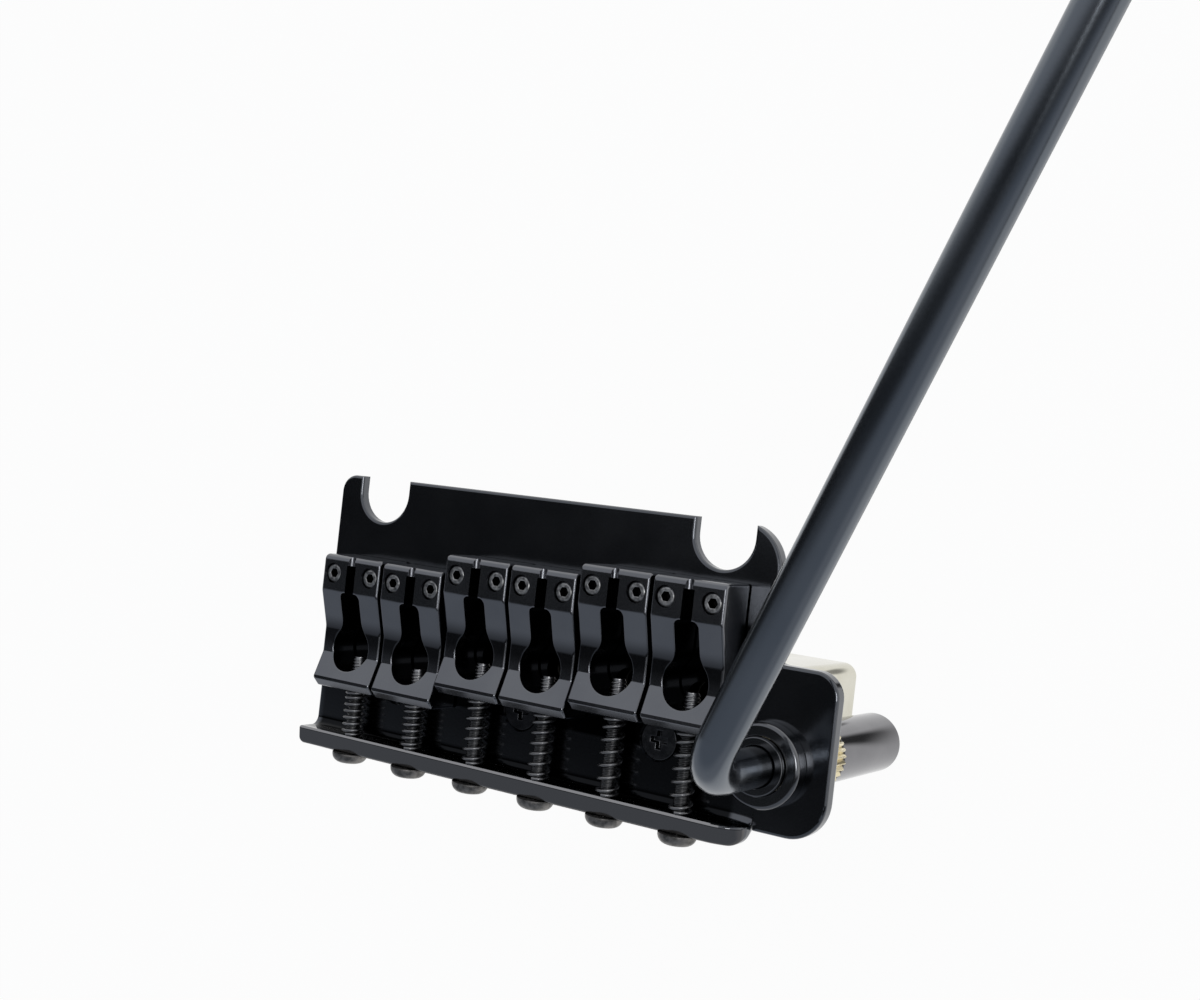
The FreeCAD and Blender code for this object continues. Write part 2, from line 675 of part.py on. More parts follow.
def arc_through(start, heading, end):
    """Arc that leaves start along heading and reaches end."""
    chord = end - start
    lean = heading.getAngle(chord)
    bulge = (heading - chord * (heading.dot(chord) / chord.dot(chord))).normalize()
    middle = start + chord * 0.5 + bulge * (chord.Length / 2 * math.tan(lean / 2))
    return Part.Arc(start, middle, end).toShape()


def biarc(start, heading, end, end_heading):
    """Two arcs that join smoothly between two points with given headings."""
    gap = end - start
    both = heading + end_heading
    squeeze = 2 * (1 - heading.dot(end_heading))
    reach = (-gap.dot(both) + math.sqrt(gap.dot(both) ** 2 + squeeze * gap.dot(gap))) / squeeze
    middle = (start + heading * reach + end - end_heading * reach) * 0.5
    second_heading = (end - end_heading * reach - middle).normalize()
    return [arc_through(start, heading, middle), arc_through(middle, second_heading, end)]


def spring_wire(length):
    """Middle line of a spring along Y, with straight ends that meet their seats squarely."""
    radius, bend, size = value("spring_radius"), value("spring_end_bend"), value("wire_size")
    run = length - 2 * (bend + size)
    turns = math.floor(run / value("spring_least_pitch"))
    along = FreeCAD.Vector(0, 1, 0)

    def place(quarter):
        angle = quarter * math.pi / 2
        rise = bend + size + run * quarter / (4 * turns)
        return FreeCAD.Vector(radius * math.cos(angle), rise, radius * math.sin(angle))

    def heading(quarter):
        angle = quarter * math.pi / 2
        rise = run / (2 * math.pi * turns)
        return FreeCAD.Vector(-radius * math.sin(angle), rise, radius * math.cos(angle)).normalize()

    def sideways(quarter):
        angle = quarter * math.pi / 2
        return FreeCAD.Vector(-math.sin(angle), 0, math.cos(angle))

    last = 4 * turns
    foot = place(0) - sideways(0) * bend - along * bend
    head = place(last) + sideways(last) * bend + along * bend
    edges = [Part.LineSegment(foot - along * size, foot).toShape()]
    edges += biarc(foot, along, place(0), heading(0))
    for quarter in range(last):
        edges += biarc(place(quarter), heading(quarter), place(quarter + 1), heading(quarter + 1))
    edges += biarc(place(last), heading(last), head, along)
    edges.append(Part.LineSegment(head, head + along * size).toShape())
    return Part.Wire(edges), turns


def own_gap(wire, size):
    """Least gap between a tube's turns, measured on points of its middle line."""
    step = size / 2
    points = wire.discretize(Distance=step)
    apart = int(4 * size / step)
    pairs = ((a, b) for i, a in enumerate(points) for b in points[i + apart:])
    return min(a.distanceToPoint(b) for a, b in pairs) - size


def make_spring(number):
    """Compression spring between the lip and one saddle, an unbroken tube on its middle line."""
    label = f"intonation_spring_{number}"
    gap = value("spring_seat_gap")
    length = value(f"lip_distance - saddle_front_{number} - saddle_length") - 2 * gap
    size = value("wire_size")
    wire, turns = spring_wire(length)
    start = wire.Edges[0].firstVertex().Point
    ring = Part.Wire(Part.Circle(start, FreeCAD.Vector(0, 1, 0), size / 2).toShape())
    spring = doc.addObject("Part::Feature", label)
    spring.Label = label
    spring.Shape = wire.makePipeShell([ring], True, False)
    seat = FreeCAD.Vector(value(string_side(number)), gap - value("lip_distance"), value("screw_height"))
    spring.Placement = FreeCAD.Placement(seat, FreeCAD.Rotation())
    sub_parts.append(spring)
    share = spring.Shape.Volume / (wire.Length * math.pi * size ** 2 / 4)
    print(f"{label}: {turns} turns, least gap {own_gap(wire, size):.3f} mm, volume share {share:.4f}")


# Inertia block and its screws


def make_inertia_block():
    """Block under the plate with stepped string holes, spring-hook holes and tapped holes."""
    body = new_body("inertia_block", "0", "0", "-plate_thickness")
    plan = new_sketch(body, "block_plan", "XY_Plane")
    rectangle(plan, ("-block_half_width", "-block_rear"), ("block_half_width", "-block_front"))
    pad(body, plan, "block_height", reverse=True)

    def upright(edge, middle, run):
        return abs(run.z) > TINY

    soften(body, "Fillet", "block_corners", "block_corner", upright)

    def foot(edge, middle, run):
        return near(middle.z, "-block_height")

    soften(body, "Fillet", "block_foot", "block_foot_round", foot)
    strings = new_sketch(body, "block_string_holes", "XY_Plane")
    balls = new_sketch(body, "block_ball_holes", "XY_Plane", "-block_height")
    hooks = new_sketch(body, "block_hook_holes", "XY_Plane", "-block_height")
    taps = new_sketch(body, "block_tapped_holes", "XY_Plane")
    for number in STRINGS:
        circle(strings, string_side(number), "-string_hole_back", "string_hole_radius")
        circle(balls, string_side(number), "-string_hole_back", "ball_hole_radius")
    for step in HOOK_PLACES:
        circle(hooks, f"{step} * string_pitch", "-hook_hole_back", "hook_hole_radius")
    for step in SCREW_PLACES:
        circle(taps, f"{step} * string_pitch", "-block_screw_back", "block_screw_radius + thread_gap")
    pocket(body, strings)
    pocket(body, balls, "ball_hole_depth", reverse=True)
    pocket(body, hooks, "hook_hole_depth", reverse=True)
    pocket(body, taps, "block_screw_length + block_tap_margin - plate_thickness")


def make_block_screw(number, step):
    """Countersunk screw that holds the block to the plate."""
    label = f"block_screw_{number}"
    body = new_body(label, f"{step} * string_pitch", "-block_screw_back", "-block_screw_sink")
    cone = "(block_screw_head - block_screw_radius)"
    side = new_sketch(body, f"{label}_profile", "XZ_Plane")
    outline(side, [
        ("0", "0"),
        ("block_screw_head - block_screw_gap", "0"),
        ("block_screw_radius", f"-{cone} + block_screw_gap"),
        ("block_screw_radius", "-block_screw_length + screw_point"),
        ("block_screw_radius - screw_point", "-block_screw_length"),
        ("0", "-block_screw_length"),
    ])
    turned(body, side, "V_Axis")
    recess = new_sketch(body, f"{label}_recess", "XY_Plane")
    cross_outline(recess)
    pocket(body, recess, "cross_depth")


# Arm socket and arm


def make_socket_piece(label, corners):
    """Turn one round piece of the arm socket from half its section."""
    body = new_body(label, "socket_side", "-socket_back")
    section = new_sketch(body, f"{label}_section", "XZ_Plane")
    outline(section, corners)
    turned(body, section, "V_Axis")
    return body


def make_socket():
    """Ring, collar, knurled core, sleeve and plain bush that carry the arm."""
    flange = make_socket_piece("socket_flange", [
        ("ring_bore", "0"),
        ("flange_radius", "0"),
        ("flange_radius", "flange_height"),
        ("ring_bore", "flange_height"),
    ])
    soften(flange, "Chamfer", "flange_rim", "flange_bevel", ring_at("z", "flange_height", "flange_radius"))
    make_socket_piece("socket_collar", [
        ("bush_bore", "neck_top"),
        ("neck_radius", "neck_top"),
        ("neck_radius", "collar_top"),
        ("bush_bore", "collar_top"),
    ])
    core = make_socket_piece("socket_core", [
        ("core_bore", "neck_top"),
        ("neck_radius", "neck_top"),
        ("neck_radius", "-plate_thickness"),
        ("core_radius", "-plate_thickness"),
        ("core_radius", "-knurl_top"),
        ("knurl_radius", "-knurl_top"),
        ("knurl_radius", "-knurl_foot"),
        ("neck_radius", "-knurl_foot"),
        ("neck_radius", "-knurl_foot - spigot_length"),
        ("core_bore", "-knurl_foot - spigot_length"),
    ])
    groove = new_sketch(core, "knurl_groove", "XY_Plane", "-knurl_foot")
    outline(groove, [
        ("knurl_radius - knurl_depth", "0"),
        ("knurl_radius + knurl_depth", "-knurl_depth * 2"),
        ("knurl_radius + knurl_depth", "knurl_depth * 2"),
    ])
    cut = pocket(core, groove, "knurl_foot - knurl_top", reverse=True)
    band = core.newObject("PartDesign::PolarPattern", "knurl_band")
    band.Originals = [cut]
    band.Axis = (origin_feature(core, "Z_Axis"), [""])
    band.Angle = 360
    band.setExpression("Occurrences", linked("knurl_count"))
    core.Tip = band
    doc.recompute()
    spigot_end = "-knurl_foot - spigot_length - neck_gap"
    sleeve = make_socket_piece("socket_sleeve", [
        ("ring_bore", "-knurl_foot"),
        ("core_radius", "-knurl_foot"),
        ("core_radius", "-sleeve_foot"),
        ("0", "-sleeve_foot"),
        ("0", "-bush_foot"),
        ("core_bore", "-bush_foot"),
        ("core_bore", spigot_end),
        ("ring_bore", spigot_end),
    ])
    soften(sleeve, "Fillet", "sleeve_end", "sleeve_round", ring_at("z", "-sleeve_foot", "core_radius"))
    make_socket_piece("arm_bush", [
        ("bush_bore", "-bush_foot"),
        ("bush_outside", "-bush_foot"),
        ("bush_outside", "neck_top"),
        ("bush_bore", "neck_top"),
    ])


def make_arm():
    """Round rod with a leg in the socket, one bend and a rounded far end."""
    body = new_body("tremolo_arm", "socket_side", "-socket_back")
    body.Placement.Rotation = FreeCAD.Rotation(FreeCAD.Vector(0, 0, 1), 90 - value("arm_rest_angle"))
    body.setExpression("Placement.Rotation.Angle", linked("90 - arm_rest_angle"))
    section = new_sketch(body, "arm_section", "XY_Plane", "-arm_leg")
    circle(section, "0", "0", "arm_radius")
    rise = "(arm_rise_angle * 1 deg)"
    tangent = f"(arm_bend * tan(45 deg - {rise} / 2))"
    path = new_sketch(body, "arm_path", "XZ_Plane")
    corners = [
        ("0", "-arm_leg"),
        ("0", f"arm_elbow - {tangent}"),
        (f"{tangent} * cos({rise})", f"arm_elbow + {tangent} * sin({rise})"),
        (f"arm_length * cos({rise})", f"arm_elbow + arm_length * sin({rise})"),
    ]
    places = [point(*corner) for corner in corners]
    path.addGeometry(Part.LineSegment(places[0], places[1]), False)
    bend = arc(path, "arm_bend", corners[1][1], "arm_bend", 90 + value("arm_rise_angle"), 180)
    path.addGeometry(Part.LineSegment(places[2], places[3]), False)
    for line, ends in ((0, (0, 1)), (2, (2, 3))):
        for end, corner in enumerate(ends, start=1):
            pin(path, line, end, *corners[corner])
    join(path, bend, 2, 0, 2)
    join(path, bend, 1, 2, 1)
    bind(path, "Radius", "arm_bend", bend)
    doc.recompute()
    rod = feature(body, "AdditivePipe", "arm_rod", section)
    rod.Spine = (path, [f"Edge{number}" for number in range(1, len(path.Shape.Edges) + 1)])
    doc.recompute()

    def far_end(edge, middle, run):
        return isinstance(edge.Curve, Part.Circle) and (edge.Curve.Center - tip).Length < TINY

    tip = FreeCAD.Vector(places[3].x, 0, places[3].y)
    soften(body, "Fillet", "arm_tip", "arm_tip_round", far_end)
    soften(body, "Chamfer", "arm_foot", "arm_foot_bevel", ring_at("z", "-arm_leg", "arm_radius"))


make_base_plate()
for string_number in STRINGS:
    make_saddle(string_number)
    for screw_name, screw_hand in (("bass", -1), ("treble", 1)):
        make_height_screw(string_number, screw_name, screw_hand)
    make_intonation_screw(string_number)
    make_spring(string_number)
make_inertia_block()
for screw_number, place in enumerate(SCREW_PLACES, start=1):
    make_block_screw(screw_number, place)
make_socket()
make_arm()

# Check the document and write each sub-part
doc.recompute()
failed = [item.Label for item in doc.Objects if {"Invalid", "Error"} & set(item.State)]
if failed:
    raise RuntimeError(f"failed: {failed}")
os.makedirs("parts", exist_ok=True)
for sub_part in sub_parts:
    shape = sub_part.Shape
    if shape.isNull() or not shape.isValid() or len(shape.Solids) != 1:
        raise RuntimeError(f"{sub_part.Label} is not one sound solid")
    shape.exportStep(f"parts/{sub_part.Label}.step")
print(f"{len(sub_parts)} sub-parts written")
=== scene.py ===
"""Looks of a guitar tremolo bridge: black plated plate, sprung saddles, weight block and swinging arm."""

import json
import logging
import math
from dataclasses import dataclass, field, replace
from enum import Enum
from typing import Callable, Union

import bmesh
import bpy
from mathutils import Matrix, Vector


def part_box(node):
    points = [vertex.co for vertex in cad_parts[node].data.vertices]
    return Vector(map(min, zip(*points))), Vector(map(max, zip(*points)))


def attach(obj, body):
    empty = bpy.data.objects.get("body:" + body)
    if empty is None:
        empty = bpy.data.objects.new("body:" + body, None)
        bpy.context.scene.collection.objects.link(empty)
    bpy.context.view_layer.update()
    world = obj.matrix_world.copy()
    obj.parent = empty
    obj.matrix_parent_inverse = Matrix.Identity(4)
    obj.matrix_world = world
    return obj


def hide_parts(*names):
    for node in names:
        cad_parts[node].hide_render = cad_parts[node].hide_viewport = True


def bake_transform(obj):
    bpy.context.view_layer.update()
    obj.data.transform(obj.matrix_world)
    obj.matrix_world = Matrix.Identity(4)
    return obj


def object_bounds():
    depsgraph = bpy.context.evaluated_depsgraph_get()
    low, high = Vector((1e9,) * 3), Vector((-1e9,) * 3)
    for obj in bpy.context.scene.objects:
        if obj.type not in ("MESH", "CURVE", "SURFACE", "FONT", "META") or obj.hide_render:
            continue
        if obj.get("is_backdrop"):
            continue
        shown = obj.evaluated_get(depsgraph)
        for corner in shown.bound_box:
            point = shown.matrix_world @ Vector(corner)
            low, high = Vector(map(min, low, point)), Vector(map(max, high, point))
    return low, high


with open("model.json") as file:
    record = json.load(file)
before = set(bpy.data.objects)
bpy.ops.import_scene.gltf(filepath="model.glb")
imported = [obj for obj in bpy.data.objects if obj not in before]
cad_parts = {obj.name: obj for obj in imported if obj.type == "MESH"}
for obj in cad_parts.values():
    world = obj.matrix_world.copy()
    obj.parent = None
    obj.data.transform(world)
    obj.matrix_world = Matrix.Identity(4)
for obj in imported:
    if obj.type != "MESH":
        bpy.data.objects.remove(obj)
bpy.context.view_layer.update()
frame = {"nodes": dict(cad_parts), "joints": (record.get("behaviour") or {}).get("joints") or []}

LOG = logging.getLogger("tremolo_bridge")
MM = 0.001
TURN = 2 * math.pi
STRINGS = range(1, 7)
ARM_REST = math.radians(64.55)
ANYWHERE = 1.0
WHITE = (1.0, 1.0, 1.0)

Colour = tuple[float, float, float]
Place = tuple[float, float, float]
Number = Union[float, "Signal"]
Reshape = Callable[[bmesh.types.BMesh], None]


# Node trees


class Signal:
    """A node's output that can be used in Python sums."""

    def __init__(self, graph: "Graph", socket: bpy.types.NodeSocket) -> None:
        """Keep the socket and the graph that it belongs to."""
        self.graph = graph
        self.socket = socket

    def _math(self, operation: str, first: Number, second: Number = 0.0) -> "Signal":
        """Add one Math node.

        Args:
            operation: the Math node's operation.
            first: first value.
            second: second value, for operations that take two.

        Returns:
            The node's result.
        """
        node = self.graph.node("ShaderNodeMath", {"operation": operation}, {0: first, 1: second})
        return Signal(self.graph, node.outputs[0])

    def __add__(self, other: Number) -> "Signal":
        """Sum."""
        return self._math("ADD", self, other)

    def __radd__(self, other: Number) -> "Signal":
        """Sum with a number in front."""
        return self._math("ADD", other, self)

    def __sub__(self, other: Number) -> "Signal":
        """Difference."""
        return self._math("SUBTRACT", self, other)

    def __rsub__(self, other: Number) -> "Signal":
        """Difference from a number in front."""
        return self._math("SUBTRACT", other, self)

    def __mul__(self, other: Number) -> "Signal":
        """Product."""
        return self._math("MULTIPLY", self, other)

    def __rmul__(self, other: Number) -> "Signal":
        """Product with a number in front."""
        return self._math("MULTIPLY", other, self)

    def __truediv__(self, other: Number) -> "Signal":
        """Quotient."""
        return self._math("DIVIDE", self, other)

    def __rtruediv__(self, other: Number) -> "Signal":
        """Quotient of a number in front."""
        return self._math("DIVIDE", other, self)

    def __pow__(self, other: Number) -> "Signal":
        """Power."""
        return self._math("POWER", self, other)

    def sine(self) -> "Signal":
        """Sine of an angle in radians."""
        return self._math("SINE", self)

    def cosine(self) -> "Signal":
        """Cosine of an angle in radians."""
        return self._math("COSINE", self)

    def fraction(self) -> "Signal":
        """Part after the decimal point."""
        return self._math("FRACT", self)

    def size(self) -> "Signal":
        """Value without its sign."""
        return self._math("ABSOLUTE", self)

    def angle_to(self, across: "Signal") -> "Signal":
        """Angle of the point (across, self) round the origin."""
        return self._math("ARCTAN2", self, across)

    def at_most(self, other: Number) -> "Signal":
        """Smaller of two values."""
        return self._math("MINIMUM", self, other)

    def at_least(self, other: Number) -> "Signal":
        """Larger of two values."""
        return self._math("MAXIMUM", self, other)

    def over(self, low: float, high: float) -> "Signal":
        """Step smoothly from 0 to 1.

        Args:
            low: value at which the step starts.
            high: value at which it ends.

        Returns:
            The step's height.
        """
        settings = {"interpolation_type": "SMOOTHSTEP"}
        sockets = {"Value": self, "From Min": low, "From Max": high, "To Min": 0.0, "To Max": 1.0}
        return self.graph.output("ShaderNodeMapRange", settings, sockets)


class Graph:
    """A node tree that is filled by one method."""

    def __init__(self, tree: bpy.types.NodeTree) -> None:
        """Start with a tree's nodes cleared."""
        self.tree = tree
        tree.nodes.clear()

    def node(self, kind: str, settings: dict | None = None, sockets: dict | None = None) -> bpy.types.Node:
        """Add one node.

        Args:
            kind: the node's type name.
            settings: the node's own settings.
            sockets: values or signals by input name or number.

        Returns:
            The new node.
        """
        node = self.tree.nodes.new(kind)
        for name, value in (settings or {}).items():
            setattr(node, name, value)
        for key, value in (sockets or {}).items():
            socket = node.inputs[key]
            if isinstance(value, Signal):
                self.tree.links.new(value.socket, socket)
            elif isinstance(value, bpy.types.NodeSocket):
                self.tree.links.new(value, socket)
            else:
                socket.default_value = value
        return node

    def output(self, kind: str, settings: dict | None = None, sockets: dict | None = None,
               name: str | int = 0) -> Signal:
        """Add one node and return one of its outputs.

        Args:
            kind: the node's type name.
            settings: the node's own settings.
            sockets: values or signals by input name or number.
            name: which output.

        Returns:
            That output.
        """
        return Signal(self, self.node(kind, settings, sockets).outputs[name])

    def mixed(self, share: Number, first: Colour | Signal, second: Colour | Signal) -> Signal:
        """Mix two colours.

        Args:
            share: how much of the second colour.
            first: colour at 0.
            second: colour at 1.

        Returns:
            The mixed colour.
        """
        node = self.node("ShaderNodeMix", {"data_type": "RGBA"}, {0: share})
        for number, colour in ((6, first), (7, second)):
            if isinstance(colour, Signal):
                self.tree.links.new(colour.socket, node.inputs[number])
            else:
                node.inputs[number].default_value = (*colour, 1.0)
        return Signal(self, node.outputs[2])

    def noise(self, place: Signal, scale: float, detail: float = 3.0, roughness: float = 0.5) -> Signal:
        """Noise about a half.

        Args:
            place: coordinates.
            scale: blotches per metre.
            detail: number of finer layers.
            roughness: weight of the finer layers.

        Returns:
            A value from 0 to 1.
        """
        sockets = {"Vector": place, "Scale": scale, "Detail": detail, "Roughness": roughness}
        return self.output("ShaderNodeTexNoise", None, sockets)


# Finishes


DUST_GREY = (0.35, 0.36, 0.38)
SPECK_SPACING = 0.5 * MM
SPECK_STEP = (0.80, 0.86)
BLOTCH_STEP = (0.3, 0.7)


class Grain(Enum):
    """Direction in which a finish shows fine lines."""

    NONE = (1.0, 1.0, 1.0)
    ACROSS = (0.04, 1.0, 1.0)
    UPRIGHT = (1.0, 1.0, 0.05)
    TURNED = (0.03, 0.03, 1.0)


@dataclass(frozen=True)
class Zone:
    """A box in which a finish is painted dimmer, brighter or warmer than elsewhere: painted shade, painted
    highlight or tint.
    """

    low: Place
    high: Place
    share: float
    edge: float = 0.4 * MM
    tint: Colour = WHITE

    def mask(self, graph: Graph, place: Signal) -> Signal:
        """Mask of the box.

        Args:
            graph: the graph to add to.
            place: coordinates.

        Returns:
            1 inside the box and 0 outside, with a soft edge.
        """
        parts = graph.node("ShaderNodeSeparateXYZ", None, {0: place})
        mask = None
        for number, (low, high) in enumerate(zip(self.low, self.high)):
            part = Signal(graph, parts.outputs[number])
            rise = part.over(low - self.edge, low + self.edge)
            inside = rise * (1 - part.over(high - self.edge, high + self.edge))
            mask = inside if mask is None else mask * inside
        return mask


@dataclass(frozen=True)
class Finish:
    """A surface finish whose colour, gloss and fine relief vary over the piece."""

    name: str
    colour: Colour
    second_colour: Colour
    roughness: float
    roughness_swing: float
    metallic: float = 1.0
    blotch: float = 7 * MM
    peel: float = 0.35 * MM
    relief: float = 2e-6
    grain: Grain = Grain.NONE
    speck_share: float = 0.0
    zones: tuple[Zone, ...] = ()

    def material(self) -> bpy.types.Material:
        """Build the finish's material, once.

        Returns:
            The material.
        """
        title = f"{self.name}_finish"
        made = bpy.data.materials.get(title)
        if made:
            return made
        made = bpy.data.materials.new(title)
        made.use_nodes = True
        graph = Graph(made.node_tree)
        place = graph.output("ShaderNodeTexCoord", name="Object")
        drawn = graph.output("ShaderNodeMapping", None, {"Vector": place, "Scale": self.grain.value})
        blotches = graph.noise(place, 1 / self.blotch)
        fine = graph.noise(drawn, 1 / self.peel, detail=2.0)
        specks = graph.noise(place, 1 / SPECK_SPACING, detail=0.0).over(*SPECK_STEP) * self.speck_share
        colour = graph.mixed(blotches.over(*BLOTCH_STEP), self.colour, self.second_colour)
        dust_and_painted_shade = graph.mixed(specks, colour, DUST_GREY)
        # Each zone paints shade, a highlight or a tint over the dust specks.
        for zone in self.zones:
            tone = tuple(part * zone.share * tint for part, tint in zip(self.colour, zone.tint))
            dust_and_painted_shade = graph.mixed(zone.mask(graph, place), dust_and_painted_shade, tone)
        swing = self.roughness_swing
        roughness = self.roughness + (blotches - 0.5) * swing + (fine - 0.5) * swing
        sockets = {"Strength": 1.0, "Distance": self.relief, "Height": fine}
        bump = graph.output("ShaderNodeBump", None, sockets)
        shader = graph.node("ShaderNodeBsdfPrincipled", None, {
            "Base Color": dust_and_painted_shade,
            "Metallic": self.metallic,
            "Roughness": roughness,
            "Normal": bump,
        })
        graph.node("ShaderNodeOutputMaterial", None, {"Surface": shader.outputs[0]})
        return made


# Painted shade on the plate under and between the saddles.
SHADE_UNDER_SADDLES = Zone((-35 * MM, -28.2 * MM, -4 * MM), (33 * MM, -10.5 * MM, 2.5 * MM), 0.05)
# Painted shade on the plate between the saddles' rear and the lip.
SHADE_BEFORE_LIP = Zone((-35 * MM, -33.4 * MM, -4 * MM), (33 * MM, -28.2 * MM, 2.5 * MM), 0.55)
# Painted shade in the crease where the lip bends up from the plate.
SHADE_IN_LIP_BEND = Zone((-35 * MM, -35.2 * MM, -4 * MM), (33 * MM, -33.4 * MM, 2.5 * MM), 0.12)
WARM = (1.07, 1.0, 0.92)
# The lip's top is painted a little brighter and warmer than the plate.
LIP_TOP = Zone((-37 * MM, -38 * MM, 1.5 * MM), (36.4 * MM, -35.2 * MM, 4.4 * MM), 1.1, 0.2 * MM, WARM)
# Painted highlight along the lip's inner top edge, 2.9 times the plate's colour and warmer.
LIP_RIM_HIGHLIGHT = Zone((-37 * MM, -35.2 * MM, 3.0 * MM), (33.2 * MM, -34.7 * MM, 4.2 * MM), 2.9, 0.06 * MM, WARM)
# Painted shade inside the weight block's string channels.
SHADE_IN_STRING_CHANNELS = Zone((-30 * MM, -22.4 * MM, -38 * MM), (30 * MM, -18.4 * MM, 0.0), 0.02)
PLATE_BLACK = Finish("plate_black", (0.108, 0.113, 0.123), (0.124, 0.129, 0.139), 0.13, 0.05,
                     speck_share=0.05, zones=(SHADE_UNDER_SADDLES, SHADE_BEFORE_LIP, SHADE_IN_LIP_BEND, LIP_TOP, LIP_RIM_HIGHLIGHT))
SADDLE_BLACK = Finish("saddle_black", (0.158, 0.163, 0.176), (0.176, 0.181, 0.193), 0.17, 0.06,
                      speck_share=0.06)
# Painted shade on the arm's lower leg, where it enters the socket.
SHADE_ON_ARM_LEG = Zone((30 * MM, -36 * MM, -40 * MM), (52 * MM, -15 * MM, 6.4 * MM), 0.3, 0.7 * MM)
ARM_BLACK = Finish("arm_black", (0.131, 0.147, 0.169), (0.145, 0.160, 0.180), 0.20, 0.05,
                   blotch=12 * MM, zones=(SHADE_ON_ARM_LEG,))
SOCKET_BLACK = Finish("socket_black", (0.130, 0.135, 0.145), (0.150, 0.153, 0.160), 0.16, 0.06,
                      grain=Grain.TURNED)
SLEEVE_BLACK = Finish("sleeve_black", (0.150, 0.148, 0.158), (0.175, 0.172, 0.182), 0.10, 0.05,
                      grain=Grain.UPRIGHT)
SUNK_BLACK = Finish("sunk_black", (0.055, 0.057, 0.062), (0.085, 0.087, 0.092), 0.22, 0.10, blotch=1 * MM)
# Painted shade: the intonation screws' shank and the thread inside the spring are painted near black.
SHADED_SHANK_BLACK = Finish("shaded_shank_black", (0.07, 0.07, 0.072), (0.10, 0.10, 0.10), 0.34, 0.10, blotch=2 * MM)
SCREW_BLACK = Finish("screw_black", (0.085, 0.083, 0.08), (0.23, 0.22, 0.21), 0.40, 0.20,
                     blotch=0.9 * MM, relief=9e-6)
THREAD_STEEL = Finish("thread_steel", (0.30, 0.30, 0.31), (0.40, 0.40, 0.40), 0.30, 0.14, blotch=1.5 * MM)
GRUB_STEEL = Finish("grub_steel", (0.16, 0.16, 0.165), (0.52, 0.52, 0.51), 0.33, 0.16,
                    blotch=0.55 * MM, relief=5e-6)
# Painted shade down in the height screws' hexagon recesses.
RECESS_SHADE_BLACK = Finish("recess_shade_black", (0.006, 0.006, 0.006), (0.012, 0.012, 0.012), 0.5, 0.1)
SPRING_BLACK = Finish("spring_black", (0.18, 0.18, 0.185), (0.23, 0.23, 0.23), 0.32, 0.12, blotch=1.5 * MM)
# Painted shade: one block screw is painted darker than the others.
SHADED_SCREW_BLACK = Finish("shaded_screw_black", (0.030, 0.031, 0.034), (0.045, 0.046, 0.05), 0.25, 0.10,
                       blotch=2 * MM)
BLOCK_NICKEL = Finish("block_nickel", (0.69, 0.67, 0.58), (0.60, 0.58, 0.48), 0.13, 0.08,
                      grain=Grain.ACROSS, zones=(SHADE_IN_STRING_CHANNELS,))
CORE_BRASS = Finish("core_brass", (0.86, 0.78, 0.55), (0.74, 0.64, 0.40), 0.24, 0.12,
                    blotch=3 * MM, grain=Grain.TURNED)
BUSH_PLASTIC = Finish("bush_plastic", (0.80, 0.79, 0.75), (0.74, 0.73, 0.69), 0.45, 0.1,
                      metallic=0.0, relief=4e-6)


# Meshes


def link(name: str, mesh: bpy.types.Mesh) -> bpy.types.Object:
    """Put a mesh into the scene as an object at the origin.

    Args:
        name: the object's name.
        mesh: its mesh.

    Returns:
        The object.
    """
    piece = bpy.data.objects.new(name, mesh)
    bpy.context.scene.collection.objects.link(piece)
    return piece


def apply_modifiers(piece: bpy.types.Object) -> None:
    """Turn a piece with modifiers into a plain mesh.

    Args:
        piece: the object.
    """
    graph = bpy.context.evaluated_depsgraph_get()
    mesh = bpy.data.meshes.new_from_object(piece.evaluated_get(graph))
    piece.modifiers.clear()
    piece.data = mesh


def settle(piece: bpy.types.Object, crease: float = 32.0) -> None:
    """Shade a piece smoothly but for its creases, with normals that follow its broad faces.

    Args:
        piece: the object.
        crease: angle in degrees from which an edge stays sharp.
    """
    piece.data.polygons.foreach_set("use_smooth", [True] * len(piece.data.polygons))
    piece.data.set_sharp_from_angle(angle=math.radians(crease))
    weighted = piece.modifiers.new("broad_faces", "WEIGHTED_NORMAL")
    weighted.keep_sharp = True
    apply_modifiers(piece)


def leave(made: bmesh.types.BMesh) -> None:
    """Change nothing."""


def merged(mesh: bpy.types.Mesh) -> bmesh.types.BMesh:
    """Copy a CAD node's mesh with its loose triangles joined.

    Args:
        mesh: the node's mesh.

    Returns:
        The joined mesh.
    """
    made = bmesh.new()
    made.from_mesh(mesh)
    bmesh.ops.remove_doubles(made, verts=made.verts, dist=1e-6)
    return made


def dressed_copy(name: str, node: str, finish: Finish, reshape: Reshape = leave) -> bpy.types.Object:
    """Copy a CAD node whose edges are round already, and keep its exact normals.

    Args:
        name: the new object's name.
        node: the CAD node.
        finish: its finish.
        reshape: change to the joined mesh.

    Returns:
        The object.
    """
    source = frame["nodes"][node].data.copy()
    normals = [part for corner in source.corner_normals for part in corner.vector]
    source.attributes.new("exact", "FLOAT_VECTOR", "CORNER").data.foreach_set("vector", normals)
    made = merged(source)
    reshape(made)
    mesh = bpy.data.meshes.new(name)
    made.to_mesh(mesh)
    made.free()
    exact = mesh.attributes["exact"]
    mesh.polygons.foreach_set("use_smooth", [True] * len(mesh.polygons))
    mesh.normals_split_custom_set([corner.vector for corner in exact.data])
    mesh.attributes.remove(exact)
    mesh.materials.clear()
    mesh.materials.append(finish.material())
    return link(name, mesh)


